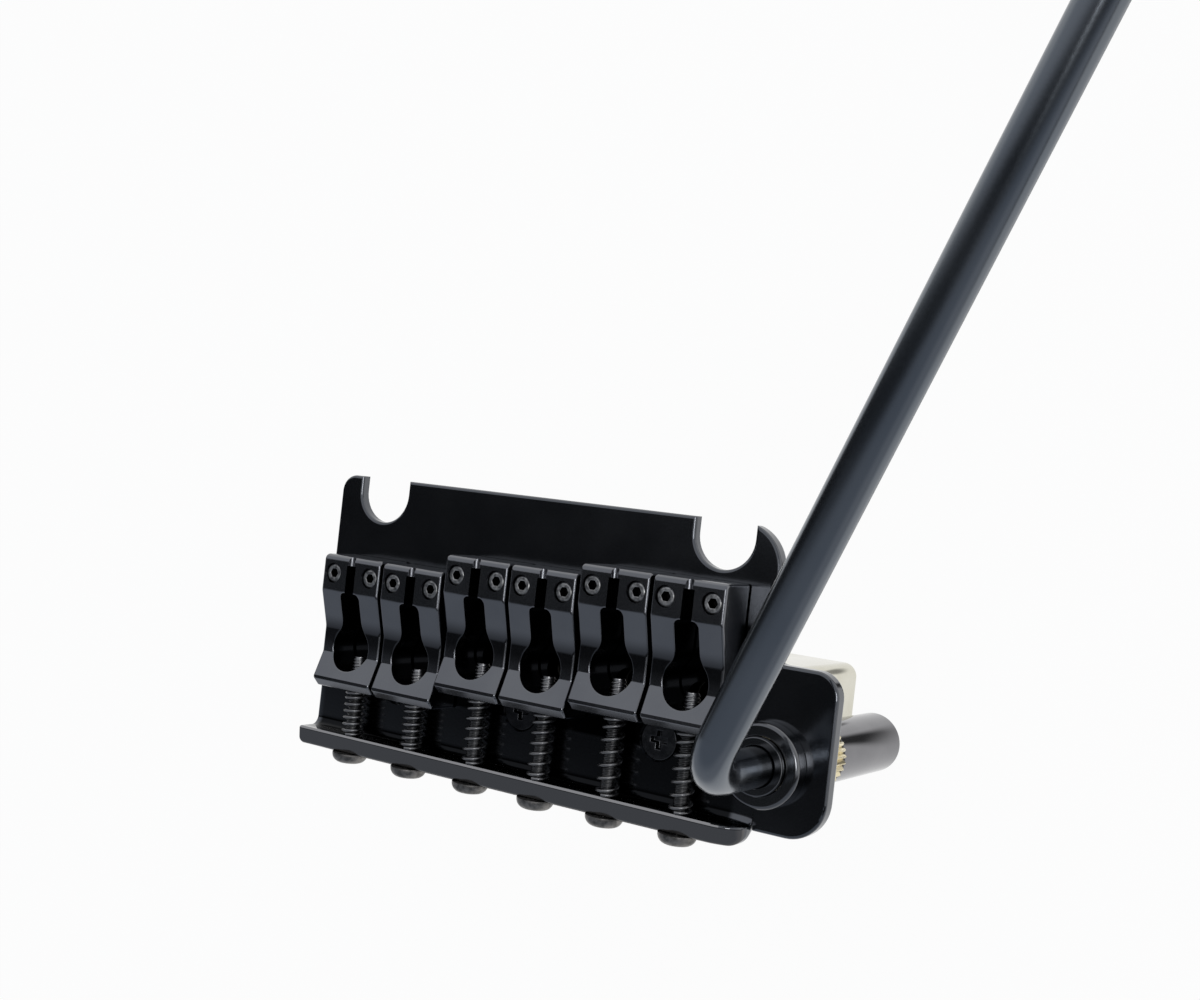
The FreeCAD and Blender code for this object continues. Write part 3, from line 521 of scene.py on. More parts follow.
def rounded_copy(name: str, node: str, finish: Finish, width: float, crease: float = 28.0,
                 reshape: Reshape = leave) -> bpy.types.Object:
    """Copy a CAD node and round its sharp edges.

    Args:
        name: the new object's name.
        node: the CAD node.
        finish: its finish.
        width: how far a round runs from its edge.
        crease: angle in degrees from which an edge is rounded.
        reshape: change to the joined mesh.

    Returns:
        The object.
    """
    made = merged(frame["nodes"][node].data)
    reshape(made)
    bmesh.ops.dissolve_limit(made, angle_limit=math.radians(0.4), verts=made.verts, edges=made.edges)
    limit = math.radians(crease)
    edges = [edge for edge in made.edges if len(edge.link_faces) == 2 and edge.calc_face_angle(0.0) > limit]
    bmesh.ops.bevel(made, geom=edges, offset=width, offset_type="OFFSET", segments=2, profile=0.5,
                    affect="EDGES", clamp_overlap=False)
    mesh = bpy.data.meshes.new(name)
    made.to_mesh(mesh)
    made.free()
    piece = link(name, mesh)
    settle(piece)
    piece.data.materials.clear()
    piece.data.materials.append(finish.material())
    return piece


def shade_inside(piece: bpy.types.Object, inside: Callable[[Vector], bool], finish: Finish) -> None:
    """Give the faces in a hollow a finish of their own, which paints shade into the hollow.

    Args:
        piece: the object.
        inside: tells whether a face's middle lies in the hollow.
        finish: the hollow's finish of painted shade.
    """
    piece.data.materials.append(finish.material())
    number = len(piece.data.materials) - 1
    for face in piece.data.polygons:
        if inside(face.center):
            face.material_index = number


def join(piece: bpy.types.Object, other: bpy.types.Object) -> None:
    """Take another object's mesh into a piece.

    Args:
        piece: the object that stays.
        other: the object that is used up.
    """
    first = len(piece.data.materials)
    for material in other.data.materials:
        piece.data.materials.append(material)
    for face in other.data.polygons:
        face.material_index += first
    made = bmesh.new()
    made.from_mesh(piece.data)
    made.from_mesh(other.data)
    made.to_mesh(piece.data)
    made.free()
    bpy.data.objects.remove(other)


def stand_for(piece: bpy.types.Object, node: str, body: str) -> None:
    """Let a piece ride on a body in a CAD node's stead.

    Args:
        piece: the object.
        node: the CAD node that it stands for.
        body: the body.
    """
    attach(piece, body)
    declare(piece, node)


def declare(piece: bpy.types.Object, node: str) -> None:
    """Hide the CAD node that a piece stands for, and log the piece's face count.

    Args:
        piece: the object.
        node: the CAD node.
    """
    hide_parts(node)
    LOG.info("%s: %d faces", piece.name, len(piece.data.polygons))


# Shapes that follow a rule


class Rule:
    """A Geometry Nodes tree with named inputs that grows one kind of shape."""

    def __init__(self, name: str, inputs: dict[str, str]) -> None:
        """Start the tree.

        Args:
            name: the tree's name.
            inputs: socket kinds by input name, in order.
        """
        self.tree = bpy.data.node_groups.new(name, "GeometryNodeTree")
        for label, kind in inputs.items():
            self.tree.interface.new_socket(label, in_out="INPUT", socket_type=f"NodeSocket{kind}")
        self.tree.interface.new_socket("Geometry", in_out="OUTPUT", socket_type="NodeSocketGeometry")
        self.graph = Graph(self.tree)
        self.group = self.graph.node("NodeGroupInput")

    def given(self, name: str) -> Signal:
        """One of the tree's inputs."""
        return Signal(self.graph, self.group.outputs[name])

    def swept(self, path: Signal, radius: Signal, sides: int) -> Signal:
        """Sweep a round section along a path.

        Args:
            path: the curve.
            radius: the section's radius.
            sides: faces round the section.

        Returns:
            A closed tube.
        """
        graph = self.graph
        round_sockets = {"Resolution": sides, "Radius": radius}
        section = graph.output("GeometryNodeCurvePrimitiveCircle", None, round_sockets)
        sockets = {"Curve": path, "Profile Curve": section, "Fill Caps": True}
        return graph.output("GeometryNodeCurveToMesh", None, sockets)

    def close(self, shape: Signal) -> None:
        """End the tree with a whole, smooth mesh and its material.

        Args:
            shape: the mesh.
        """
        graph = self.graph
        smooth = graph.output("GeometryNodeSetShadeSmooth", None, {"Geometry": shape})
        whole = graph.output("GeometryNodeRealizeInstances", None, {"Geometry": smooth})
        sockets = {"Geometry": whole, "Material": self.given("Finish")}
        dressed = graph.output("GeometryNodeSetMaterial", None, sockets)
        graph.node("NodeGroupOutput", None, {"Geometry": dressed})

    def grown(self, name: str, values: dict) -> bpy.types.Object:
        """Grow one piece as a plain mesh.

        Args:
            name: the object's name.
            values: values by input name.

        Returns:
            The object, with no modifier left on it.
        """
        piece = link(name, bpy.data.meshes.new(name))
        modifier = piece.modifiers.new("rule", "NODES")
        modifier.node_group = self.tree
        for item in self.tree.interface.items_tree:
            if item.name in values:
                modifier[item.identifier] = values[item.name]
        apply_modifiers(piece)
        return piece


def spring_rule() -> Rule:
    """Rule for a right-hand compression spring along Y with one close turn at each end.

    Returns:
        The rule.
    """
    rule = Rule("wound_spring", {
        "Start": "Vector", "Length": "Float", "Coil Radius": "Float", "Wire Radius": "Float",
        "Turns": "Float", "End Pitch": "Float", "Finish": "Material",
    })
    graph = rule.graph
    line = graph.output("GeometryNodeCurvePrimitiveLine", None, {"End": (0.0, 1.0, 0.0)})
    count = rule.given("Turns") * 32 + 1
    points = graph.output("GeometryNodeResampleCurve", {"mode": "COUNT"}, {"Curve": line, "Count": count})
    turned = graph.output("GeometryNodeSplineParameter", name="Factor") * rule.given("Turns")
    angle = turned * TURN
    wire, end_pitch = rule.given("Wire Radius"), rule.given("End Pitch")
    open_turns = rule.given("Turns") - 2
    opened = (turned - 1).at_least(0.0).at_most(open_turns)
    pitch = (rule.given("Length") - wire * 2 - end_pitch * 2) / open_turns
    along = wire + (turned - opened) * end_pitch + opened * pitch
    coil_radius = rule.given("Coil Radius")
    sockets = {"X": angle.sine() * coil_radius, "Y": along, "Z": angle.cosine() * coil_radius}
    place = graph.output("ShaderNodeCombineXYZ", None, sockets)
    set_out = graph.output("ShaderNodeVectorMath", {"operation": "ADD"}, {0: place, 1: rule.given("Start")})
    coil = graph.output("GeometryNodeSetPosition", None, {"Geometry": points, "Position": set_out})
    rule.close(rule.swept(coil, wire, 14))
    return rule


def thread_rule() -> Rule:
    """Rule for a right-hand screw thread along Y, with ridges that fade out at both ends.

    Returns:
        The rule.
    """
    rule = Rule("cut_thread", {
        "Start": "Vector", "Length": "Float", "Core Radius": "Float", "Ridge": "Float", "Pitch": "Float",
        "Finish": "Material",
    })
    graph = rule.graph
    length = rule.given("Length")
    end = graph.output("ShaderNodeCombineXYZ", None, {"Y": length})
    line = graph.output("GeometryNodeCurvePrimitiveLine", None, {"End": end})
    count = length / rule.given("Pitch") * 8 + 1
    points = graph.output("GeometryNodeResampleCurve", {"mode": "COUNT"}, {"Curve": line, "Count": count})
    core = rule.given("Core Radius")
    tube = rule.swept(points, core, 36)
    place = graph.output("GeometryNodeInputPosition")
    parts = graph.node("ShaderNodeSeparateXYZ", None, {0: place})
    across, along, up = (Signal(graph, parts.outputs[number]) for number in range(3))
    phase = (along / rule.given("Pitch") + up.angle_to(across) / TURN).fraction()
    ridge = 1 - (phase * 2 - 1).size()
    fade = (along / rule.given("Pitch")).at_most((length - along) / rule.given("Pitch")).over(0.0, 1.0)
    swell = 1 + ridge.over(0.15, 0.85) * fade * rule.given("Ridge") / core
    wavy = graph.output("ShaderNodeCombineXYZ", None, {"X": across * swell, "Y": along, "Z": up * swell})
    set_out = graph.output("ShaderNodeVectorMath", {"operation": "ADD"}, {0: wavy, 1: rule.given("Start")})
    rule.close(graph.output("GeometryNodeSetPosition", None, {"Geometry": tube, "Position": set_out}))
    return rule


def rod_rule() -> Rule:
    """Rule for a round rod through three corners with one bend.

    Returns:
        The rule.
    """
    rule = Rule("bent_rod", {
        "Foot": "Vector", "Elbow": "Vector", "Tip": "Vector", "Bend Radius": "Float", "Rod Radius": "Float",
        "Finish": "Material",
    })
    graph = rule.graph
    line = graph.output("GeometryNodeMeshLine", None, {"Count": 3})
    number = graph.output("GeometryNodeInputIndex")
    vectors = {"input_type": "VECTOR"}
    sockets = {"Switch": number - 1, "False": rule.given("Elbow"), "True": rule.given("Tip")}
    later = graph.output("GeometryNodeSwitch", vectors, sockets)
    sockets = {"Switch": number, "False": rule.given("Foot"), "True": later}
    corner = graph.output("GeometryNodeSwitch", vectors, sockets)
    corners = graph.output("GeometryNodeSetPosition", None, {"Geometry": line, "Position": corner})
    path = graph.output("GeometryNodeMeshToCurve", None, {"Mesh": corners})
    sockets = {"Curve": path, "Count": 40, "Radius": rule.given("Bend Radius")}
    bent = graph.output("GeometryNodeFilletCurve", {"mode": "POLY"}, sockets)
    rule.close(rule.swept(bent, rule.given("Rod Radius"), 64))
    return rule


# Sub-assemblies


@dataclass
class Plate:
    """The notched plate with its lip and ear, the weight block under it and the block's screws."""

    block_edge: float = 0.3 * MM
    screw_edge: float = 0.12 * MM
    screws: range = range(1, 4)
    # The block screw that is painted darker, as painted shade.
    shaded_screw: int = 2
    lip_width: float = 2.5 * MM
    lip_crown: float = 0.5 * MM
    lip_fall: float = 0.12
    lip_end: float = 35.9 * MM
    lip_end_run: float = 3.8 * MM
    lip_end_share: float = 0.2
    lip_end_lean: float = 0.30
    rim_width: float = 0.3 * MM
    rim_slope: Vector = field(default_factory=lambda: Vector((0.0, 0.5, 0.866)))
    lip_foot: float = -33.5 * MM
    slit_wall: float = 36.6 * MM
    slit_width: float = 0.12 * MM

    def build(self) -> None:
        """Make and dress the pieces."""
        plate = dressed_copy("plate_and_lip", "base_plate", PLATE_BLACK, self.form_lip)
        stand_for(plate, "base_plate", "bridge_frame")
        block = rounded_copy("weight_block", "inertia_block", BLOCK_NICKEL, self.block_edge)
        stand_for(block, "inertia_block", "bridge_frame")
        for number in self.screws:
            node = f"block_screw_{number}"
            # That screw takes the darker finish of painted shade.
            finish = SHADED_SCREW_BLACK if number == self.shaded_screw else SUNK_BLACK
            screw = rounded_copy(f"weight_screw_{number}", node, finish, self.screw_edge)
            stand_for(screw, node, "bridge_frame")

    def form_lip(self, made: bmesh.types.BMesh) -> None:
        """Give the lip a leaning top, a rounded treble end and a narrow slit beside the ear.

        Args:
            made: the plate's mesh.
        """
        self.lean_lip(made)
        self.round_lip_end(made)
        self.bevel_rim(made)
        for vertex in made.verts:
            if abs(vertex.co.x - self.slit_wall) < 1e-5 and vertex.co.y < self.lip_foot + 1 * MM:
                vertex.co.x = self.lip_end + self.slit_width

    def round_lip_end(self, made: bmesh.types.BMesh) -> None:
        """Let the lip run down to the plate at its treble end, with its exact normals.

        Args:
            made: the plate's mesh.
        """
        exact = made.loops.layers.float_vector["exact"]
        low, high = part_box("base_plate")
        inner, height = low.y + self.lip_width, high.z
        foot = self.lip_end - self.lip_end_run
        for step in range(0, 90, 9):
            station = foot + self.lip_end_run * math.sin(math.radians(step))
            lip = [face for face in made.faces if any(self.on_lip(vertex.co) for vertex in face.verts)]
            parts = {part for face in lip for part in (face, *face.edges, *face.verts)}
            bmesh.ops.bisect_plane(made, geom=list(parts), dist=1e-7, plane_co=(station, 0, 0),
                                   plane_no=(1, 0, 0))
        for vertex in made.verts:
            if self.on_lip(vertex.co) and vertex.co.x > foot:
                run = min((vertex.co.x - foot) / self.lip_end_run, 0.98)
                level = math.sqrt(1 - run * run)
                share = self.lip_end_share + (1 - self.lip_end_share) * level
                slope = -(1 - self.lip_end_share) * run / (level * self.lip_end_run)
                tilt = vertex.co.z * slope / share
                lean = self.lip_end_lean * run * vertex.co.z / height
                for loop in vertex.link_loops:
                    along = loop[exact].y - lean * max(loop[exact].z, 0.0)
                    normal = Vector((loop[exact].x - tilt * loop[exact].z, along, loop[exact].z / share))
                    loop[exact] = normal.normalized()
                vertex.co.z = (vertex.co.z - (inner - vertex.co.y) * lean) * share

    def bevel_rim(self, made: bmesh.types.BMesh) -> None:
        """Shade the lip's inner top edge as one narrow bevel.

        Args:
            made: the plate's mesh.
        """
        low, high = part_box("base_plate")
        inner = low.y + self.lip_width
        edge = Vector((self.lip_end - self.lip_end_run, inner - self.rim_width, high.z - self.rim_width))
        exact = made.loops.layers.float_vector["exact"]
        for face in made.faces:
            places = [vertex.co for vertex in face.verts]
            if all(place.x < edge.x + 1e-5 and place.y > edge.y and place.z > edge.z for place in places):
                for loop in face.loops:
                    loop[exact] = self.rim_slope

    def on_lip(self, place: Vector) -> bool:
        """Tell whether a place is on the lip, above the plate's top face."""
        return place.z > 1e-5 and place.y < self.lip_foot

    def lean_lip(self, made: bmesh.types.BMesh) -> None:
        """Let the lip's top fall off to the rear, with its exact normals.

        Args:
            made: the plate's mesh.
        """
        low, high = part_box("base_plate")
        exact = made.loops.layers.float_vector["exact"]
        inner = low.y + self.lip_width
        for vertex in made.verts:
            if vertex.co.y < inner + 1e-5 and vertex.co.z > high.z - self.lip_crown:
                vertex.co.z -= (inner - vertex.co.y) * self.lip_fall
                for loop in vertex.link_loops:
                    normal = loop[exact].copy()
                    normal.y -= self.lip_fall * max(normal.z, 0.0)
                    loop[exact] = normal.normalized()


@dataclass
class Saddle:
    """One string's saddle with its height screws, its intonation screw and its spring."""

    number: int
    spring: Rule
    thread: Rule
    grub_edge: float = 0.08 * MM
    recess_reach: float = 0.95 * MM
    recess_share: float = 0.8
    recess_rim: float = 0.09 * MM
    thread_core: float = 0.80 * MM
    thread_ridge: float = 0.20 * MM
    thread_pitch: float = 0.46 * MM
    inner_shank: float = 0.72 * MM
    wire_radius: float = 0.22 * MM
    spring_turns: float = 7.4
    end_pitch: float = 0.52 * MM
    crest_flat: float = 0.07 * MM
    crest_reach: float = 3.0 * MM
    crest_lean: float = 0.05
    # From dip_start to dip_end behind the front, the saddle's dip is painted darker as shade.
    dip_start: float = 9.6 * MM
    dip_end: float = 12.8 * MM
    dip_shade_edge: float = 1.2 * MM
    dip_shade_share: float = 0.36

    def build(self) -> None:
        """Make and dress the pieces."""
        node = f"saddle_{self.number}"
        body = dressed_copy(f"saddle_body_{self.number}", node, self.finish(), self.flatten_crest)
        stand_for(body, node, node)
        for hand in ("bass", "treble"):
            self.height_screw(hand)
        self.intonation_screw()
        self.coil_spring()

    def finish(self) -> Finish:
        """Saddle black with painted shade over the dip.

        Returns:
            The finish of this saddle.
        """
        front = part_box(f"saddle_{self.number}")[1].y
        low = (-ANYWHERE, front - self.dip_end, -ANYWHERE)
        high = (ANYWHERE, front - self.dip_start, ANYWHERE)
        # Painted shade over the dip.
        dip = Zone(low, high, self.dip_shade_share, self.dip_shade_edge)
        return replace(SADDLE_BLACK, name=f"saddle_black_{self.number}", zones=(dip,))

    def flatten_crest(self, made: bmesh.types.BMesh) -> None:
        """Give the rear ramp's crest a narrow flat.

        Args:
            made: the saddle's mesh.
        """
        exact = made.loops.layers.float_vector["exact"]
        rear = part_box(f"saddle_{self.number}")[0].y
        crest = [vertex for vertex in made.verts if vertex.co.y < rear + self.crest_reach]
        level = max(vertex.co.z for vertex in crest) - self.crest_flat
        flat = {vertex for vertex in crest if vertex.co.z > level}
        for vertex in flat:
            vertex.co.z = level
        for face in made.faces:
            if flat.issuperset(face.verts):
                for loop in face.loops:
                    loop[exact] = Vector((0.0, self.crest_lean, 1.0)).normalized()

    def height_screw(self, hand: str) -> None:
        """Make one height screw.

        Args:
            hand: the side of the string that it stands on.
        """
        node = f"height_screw_{self.number}_{hand}"
        name = f"grub_{self.number}_{hand}"
        low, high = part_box(node)
        middle = (low + high) / 2

        def narrow_recess(made: bmesh.types.BMesh) -> None:
            """Draw the hexagon in to the smaller size that shows.

            Args:
                made: the screw's mesh.
            """
            for vertex in made.verts:
                spoke = (vertex.co - middle).xy
                if spoke.length < self.recess_reach:
                    vertex.co.xy = middle.xy + spoke * self.recess_share

        def in_recess(place: Vector) -> bool:
            """Tell whether a face lies down in the hexagon."""
            near = (place - middle).xy.length < self.recess_reach * self.recess_share
            return near and place.z < high.z - self.recess_rim

        piece = rounded_copy(f"{name}_screw", node, GRUB_STEEL, self.grub_edge, reshape=narrow_recess)
        # The faces down in the hexagon are painted black as shade.
        shade_inside(piece, in_recess, RECESS_SHADE_BLACK)
        stand_for(piece, node, name)

    def intonation_screw(self) -> None:
        """Make the intonation screw: domed head, thinner shank and a thread round it."""
        node = f"intonation_screw_{self.number}"
        low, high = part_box(node)
        axis = (low + high) / 2
        head_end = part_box("base_plate")[0].y

        def thin_shank(made: bmesh.types.BMesh) -> None:
            """Draw the shank in, to make room for the thread.

            Args:
                made: the screw's mesh.
            """
            for vertex in made.verts:
                spoke = Vector((vertex.co.x - axis.x, 0.0, vertex.co.z - axis.z))
                if vertex.co.y > head_end + 1e-5 and spoke.length > self.inner_shank:
                    inner = spoke.normalized() * self.inner_shank
                    vertex.co = Vector((axis.x + inner.x, vertex.co.y, axis.z + inner.z))

        piece = dressed_copy(f"long_screw_{self.number}", node, SCREW_BLACK, thin_shank)
        # The shank is painted near black as shade.
        shade_inside(piece, lambda place: place.y > head_end, SHADED_SHANK_BLACK)
        start = head_end + 1e-5
        ridges = self.thread.grown(f"thread_{self.number}", {
            "Start": (axis.x, start, axis.z), "Length": high.y - start, "Core Radius": self.thread_core,
            "Ridge": self.thread_ridge, "Pitch": self.thread_pitch, "Finish": THREAD_STEEL.material(),
        })
        saddle_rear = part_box(f"saddle_{self.number}")[0].y
        # The thread between the lip and the saddle, inside the spring, is painted near black as shade.
        shade_inside(ridges, lambda place: place.y < saddle_rear, SHADED_SHANK_BLACK)
        join(piece, ridges)
        stand_for(piece, node, f"screw_{self.number}")

    def coil_spring(self) -> None:
        """Make the spring, which stretches between the lip and the saddle."""
        node = f"intonation_spring_{self.number}"
        low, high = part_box(node)
        length = high.y - low.y
        coil = (high.x - low.x) / 2 - self.wire_radius
        middle = (low + high) / 2
        start, end = (middle.x, low.y, middle.z), (middle.x, high.y, middle.z)
        piece = self.spring.grown(f"coil_{self.number}", {
            "Start": start, "Length": length, "Coil Radius": coil, "Wire Radius": self.wire_radius,
            "Turns": self.spring_turns, "End Pitch": self.end_pitch, "Finish": SPRING_BLACK.material(),
        })
        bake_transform(piece)
        declare(piece, node)


@dataclass
class Socket:
    """The arm's socket: ring, collar, knurled core, sleeve and bush."""

    edge: float = 0.18 * MM
    knurl_edge: float = 0.05 * MM
    finishes: dict[str, Finish] = field(default_factory=lambda: {
        "socket_flange": SOCKET_BLACK,
        "socket_collar": SOCKET_BLACK,
        "socket_core": CORE_BRASS,
        "socket_sleeve": SLEEVE_BLACK,
        "arm_bush": BUSH_PLASTIC,
    })

    def build(self) -> None:
        """Make and dress the pieces."""
        for node, finish in self.finishes.items():
            width = self.knurl_edge if finish is CORE_BRASS else self.edge
            stand_for(rounded_copy(f"{node}_turned", node, finish, width), node, "bridge_frame")


@dataclass
class Arm:
    """The bent rod that swings in the socket."""

    rod: Rule
    radius: float = 2.5 * MM
    bend: float = 6.5 * MM
    elbow_height: float = 17.3 * MM
    rise: float = math.radians(7.9)
    rest: float = ARM_REST
    length: float = 150 * MM
    tip_round: float = 2.0 * MM
    foot_bevel: float = 0.6 * MM

    def build(self) -> None:
        """Make and dress the rod."""
        joint = next(item for item in frame["joints"] if item["name"] == "arm_swing")
        axis = Vector(joint["pos_m"])
        foot = Vector((axis.x, axis.y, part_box("tremolo_arm")[0].z))
        elbow = Vector((axis.x, axis.y, self.elbow_height))
        level = math.cos(self.rise)
        heading = Vector((level * math.cos(self.rest), level * math.sin(self.rest), math.sin(self.rise)))
        tip = elbow + heading * self.length
        piece = self.rod.grown("arm_rod", {
            "Foot": foot, "Elbow": elbow, "Tip": tip, "Bend Radius": self.bend, "Rod Radius": self.radius,
            "Finish": ARM_BLACK.material(),
        })
        made = bmesh.new()
        made.from_mesh(piece.data)
        for end, width, segments in ((tip, self.tip_round, 8), (foot, self.foot_bevel, 2)):
            reach = self.radius * 1.01
            rim = [edge for edge in made.edges if all((v.co - end).length < reach for v in edge.verts)]
            bmesh.ops.bevel(made, geom=rim, offset=width, segments=segments, profile=0.5, affect="EDGES")
        bmesh.ops.recalc_face_normals(made, faces=made.faces)
        made.to_mesh(piece.data)
        made.free()
        settle(piece)
        stand_for(piece, "tremolo_arm", "arm")


# Stage


@dataclass(frozen=True)
class SoftBox:
    """A soft box that fills the room on one side of a slanting plane."""

    along: float
    across: float
    up: float
    edge: tuple[float, float]
    upper_tone: Colour
    lower_tone: Colour

    def mask(self, across: Signal, along: Signal, up: Signal) -> Signal:
        """Mask of the directions that the box fills.

        Args:
            across: the direction's X part.
            along: its Y part.
            up: its Z part.

        Returns:
            1 in the box and 0 outside it, with a soft edge.
        """
        return (along * self.along + across * self.across + up * self.up).over(*self.edge)


REAR_BOX = SoftBox(-1.0, -0.23, -0.365, (-0.03, 0.15), (0.34, 0.37, 0.42), (0.52, 0.54, 0.58))
FRONT_BOX = SoftBox(1.0, 0.26, 0.14, (-0.02, 0.13), (0.66, 0.68, 0.72), WHITE)


@dataclass
class Studio:
    """Camera, soft light and a plain white floor."""

    eye: Vector = field(default_factory=lambda: Vector((116.968, 4.449, 171.84)) * MM)
    right: Vector = field(default_factory=lambda: Vector((0.84052, 0.11187, -0.5301)))
    down: Vector = field(default_factory=lambda: Vector((0.09944, -0.99368, -0.05203)))
    lens: float = 46.25
    floor_size: float = 3.0
    floor_white: float = 0.95
    floor_grey: float = 0.9
    floor_gap: float = 0.2 * MM
    near_floor: tuple[float, float] = (0.12, 0.30)
    # Painted shadow of the arm and painted dark patch by the block's corner, on the floor as the object
    # mirrors it.
    shadow_foot: Vector = field(default_factory=lambda: Vector((42.5, -27.0, 0.0)) * MM)
    shadow_width: tuple[float, float] = (1.5 * MM, 5 * MM)
    shadow_start: tuple[float, float] = (0.0, 8 * MM)
    shadow_tone: Colour = (0.06, 0.06, 0.06)
    block_corner: Vector = field(default_factory=lambda: Vector((33.6, -14.6, 0.0)) * MM)
    corner_width: tuple[float, float] = (1.0 * MM, 2.6 * MM)
    corner_shade_share: float = 0.75
    room_tone: Colour = (0.03, 0.032, 0.035)
    rear_start: tuple[float, float] = (0.0, 0.16)
    low_step: tuple[float, float] = (0.05, 0.45)
    lamp_place: Vector = field(default_factory=lambda: Vector((0.31, 0.02, 0.45)))
    lamp_size: float = 0.14
    lamp_power: float = 0.4

    def build(self) -> None:
        """Set the stage."""
        scene = bpy.context.scene
        scene.view_settings.view_transform = "Standard"
        self.camera()
        self.floor()
        self.world()
        self.lamp("camera_side_light")

    def camera(self) -> None:
        """Place the camera at the photograph's point of view."""
        data = bpy.data.cameras.new("view")
        data.lens, data.sensor_width, data.sensor_fit = self.lens, 36.0, "HORIZONTAL"
        data.clip_start, data.clip_end = 0.005, 20.0
        camera = bpy.data.objects.new("view", data)
        back = self.right.cross(-self.down)
        turned = Matrix((self.right, -self.down, back)).transposed().to_4x4()
        camera.matrix_world = Matrix.Translation(self.eye) @ turned
        bpy.context.scene.collection.objects.link(camera)
        bpy.context.scene.camera = camera

    def floor(self) -> None:
        """Lay a white floor under the object, which keeps a soft shadow."""
        made = bmesh.new()
        half = self.floor_size
        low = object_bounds()[0].z - self.floor_gap
        sides = ((-half, -half), (half, -half), (half, half), (-half, half))
        made.faces.new([made.verts.new((x, y, low)) for x, y in sides])
        mesh = bpy.data.meshes.new("floor")
        made.to_mesh(mesh)
        made.free()
        floor = link("floor", mesh)
        material = bpy.data.materials.new("floor_white")
        material.use_nodes = True
        graph = Graph(material.node_tree)
        grey = self.floor_grey
        lit = graph.node("ShaderNodeBsdfDiffuse", None, {"Color": (grey, grey, grey, 1.0)})
        seen = graph.output("ShaderNodeLightPath", name="Is Camera Ray")
        colour = graph.mixed(seen, self.mirrored_floor(graph), WHITE)
        plain = graph.node("ShaderNodeEmission", None, {"Color": colour, "Strength": 1.0})
        share = self.seen_directly(graph) * self.floor_white
        mix = graph.node("ShaderNodeMixShader", None, {0: share, 1: lit.outputs[0], 2: plain.outputs[0]})
        graph.node("ShaderNodeOutputMaterial", None, {"Surface": mix.outputs[0]})
        mesh.materials.append(material)
        floor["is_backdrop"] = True

    def mirrored_floor(self, graph: Graph) -> Signal:
        """Floor as the object mirrors it: white near by, with a painted shadow of the arm at rest and a
        painted dark patch by the block's corner, and the room's tone far off.

        Args:
            graph: the graph to add to.

        Returns:
            The colour.
        """
        place = graph.output("ShaderNodeTexCoord", name="Object")
        parts = graph.node("ShaderNodeSeparateXYZ", None, {0: place})
        across, along = Signal(graph, parts.outputs[0]), Signal(graph, parts.outputs[1])
        reach = (across * across + along * along) ** 0.5
        far = self.surroundings(graph, across / reach, along / reach, reach * 0)
        ground = graph.mixed(reach.over(*self.near_floor), WHITE, far)
        # Painted shadow of the arm, laid along its rest angle: it stays put when the arm swings.
        cosine, sine = math.cos(ARM_REST), math.sin(ARM_REST)
        from_foot, past_foot = across - self.shadow_foot.x, along - self.shadow_foot.y
        outward = from_foot * cosine + past_foot * sine
        aside = from_foot * sine - past_foot * cosine
        shadow = (1 - aside.size().over(*self.shadow_width)) * outward.over(*self.shadow_start)
        # Painted dark patch on the floor by the weight block's corner.
        corner = ((across - self.block_corner.x) ** 2.0 + (along - self.block_corner.y) ** 2.0) ** 0.5
        corner_shade = 1 - corner.over(*self.corner_width)
        shaded = 1 - (1 - shadow) * (1 - corner_shade * self.corner_shade_share)
        return graph.mixed(shaded, ground, self.shadow_tone)

    @staticmethod
    def seen_directly(graph: Graph) -> Signal:
        """1 for rays from the camera, from gloss and through glass.

        Args:
            graph: the graph to add to.

        Returns:
            The mask.
        """
        path = graph.node("ShaderNodeLightPath")
        names = ("Is Camera Ray", "Is Glossy Ray", "Is Transmission Ray")
        first, second, third = (Signal(graph, path.outputs[name]) for name in names)
        return (first + second + third).at_most(1.0)

    def world(self) -> None:
        """Surround the object with two soft boxes, before and behind it, and a dark gap between them."""
        world = bpy.data.worlds.new("room")
        bpy.context.scene.world = world
        world.use_nodes = True
        graph = Graph(world.node_tree)
        place = graph.output("ShaderNodeTexCoord", name="Generated")
        parts = graph.node("ShaderNodeSeparateXYZ", None, {0: place})
        boxes = self.surroundings(graph, *(Signal(graph, parts.outputs[number]) for number in range(3)))
        seen = graph.output("ShaderNodeLightPath", name="Is Camera Ray")
        colour = graph.mixed(seen, boxes, WHITE)
        shader = graph.node("ShaderNodeBackground", None, {"Color": colour, "Strength": 1.0})
        graph.node("ShaderNodeOutputWorld", None, {"Surface": shader.outputs[0]})

    def surroundings(self, graph: Graph, across: Signal, along: Signal, up: Signal) -> Signal:
        """Tone of the room in one direction.

        Args:
            graph: the graph to add to.
            across: the direction's X part.
            along: its Y part.
            up: its Z part.

        Returns:
            The colour.
        """
        behind = REAR_BOX.mask(across, along, up) * (0 - along).over(*self.rear_start)
        before = FRONT_BOX.mask(across, along, up)
        low = 1 - up.over(*self.low_step)
        rear = graph.mixed(low, REAR_BOX.upper_tone, REAR_BOX.lower_tone)
        front = graph.mixed(low, FRONT_BOX.upper_tone, FRONT_BOX.lower_tone)
        return graph.mixed(before, graph.mixed(behind, self.room_tone, rear), front)

    def lamp(self, name: str) -> None:
        """Add a soft square lamp that faces the object.

        Args:
            name: the lamp's name.
        """
        data = bpy.data.lights.new(name, "AREA")
        data.shape, data.size, data.energy = "SQUARE", self.lamp_size, self.lamp_power
        lamp = bpy.data.objects.new(name, data)
        turned = (-self.lamp_place).to_track_quat("-Z", "Y").to_matrix().to_4x4()
        lamp.matrix_world = Matrix.Translation(self.lamp_place) @ turned
        bpy.context.scene.collection.objects.link(lamp)


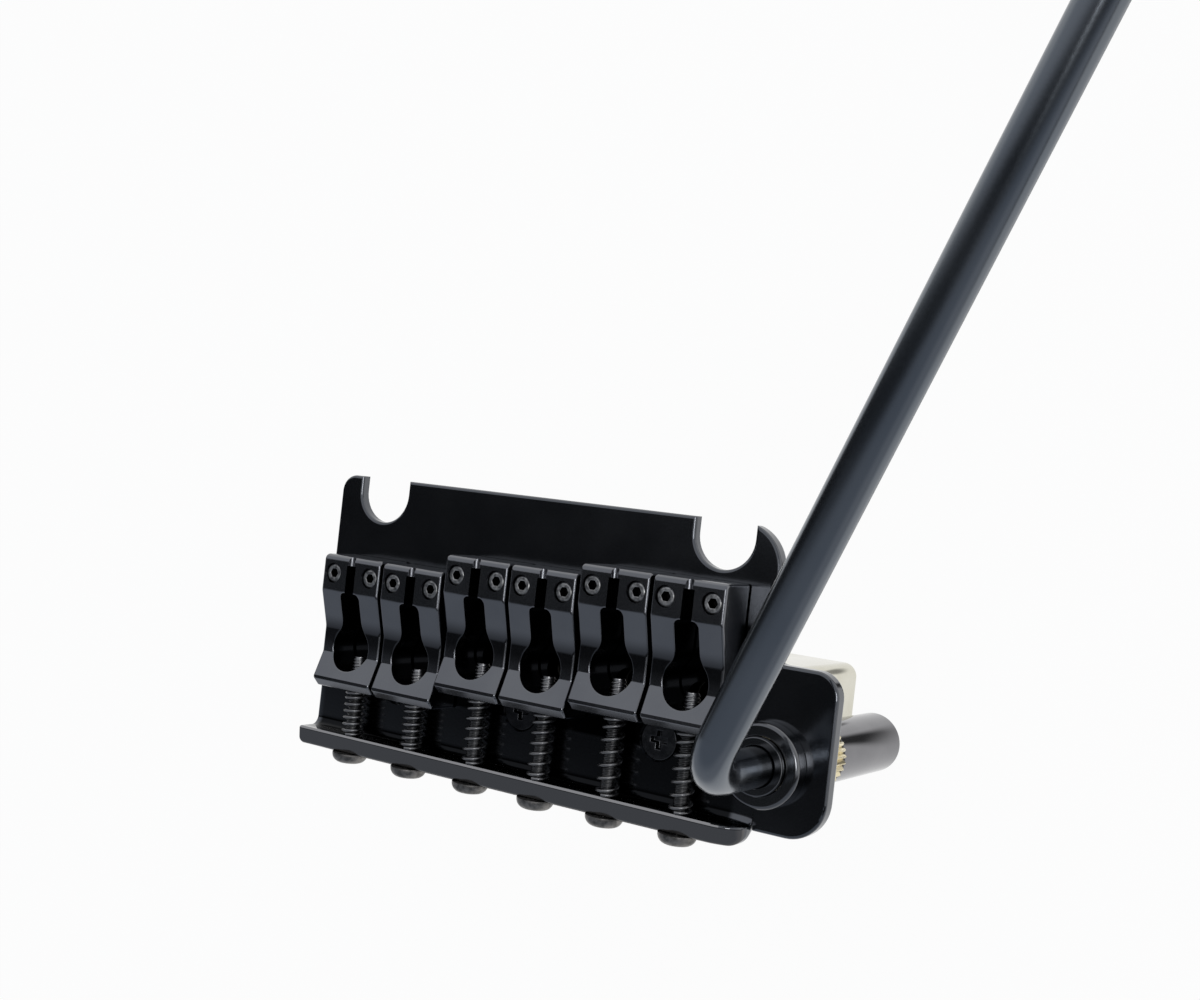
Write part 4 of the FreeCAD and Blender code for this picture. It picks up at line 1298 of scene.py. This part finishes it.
def main() -> None:
    """Build every piece, then the stage, and note the sizes."""
    logging.basicConfig(level=logging.INFO, format="%(message)s")
    Plate().build()
    spring, thread = spring_rule(), thread_rule()
    for number in STRINGS:
        Saddle(number, spring, thread).build()
    Socket().build()
    Arm(rod_rule()).build()
    Studio().build()


if __name__ == "__main__":
    main()
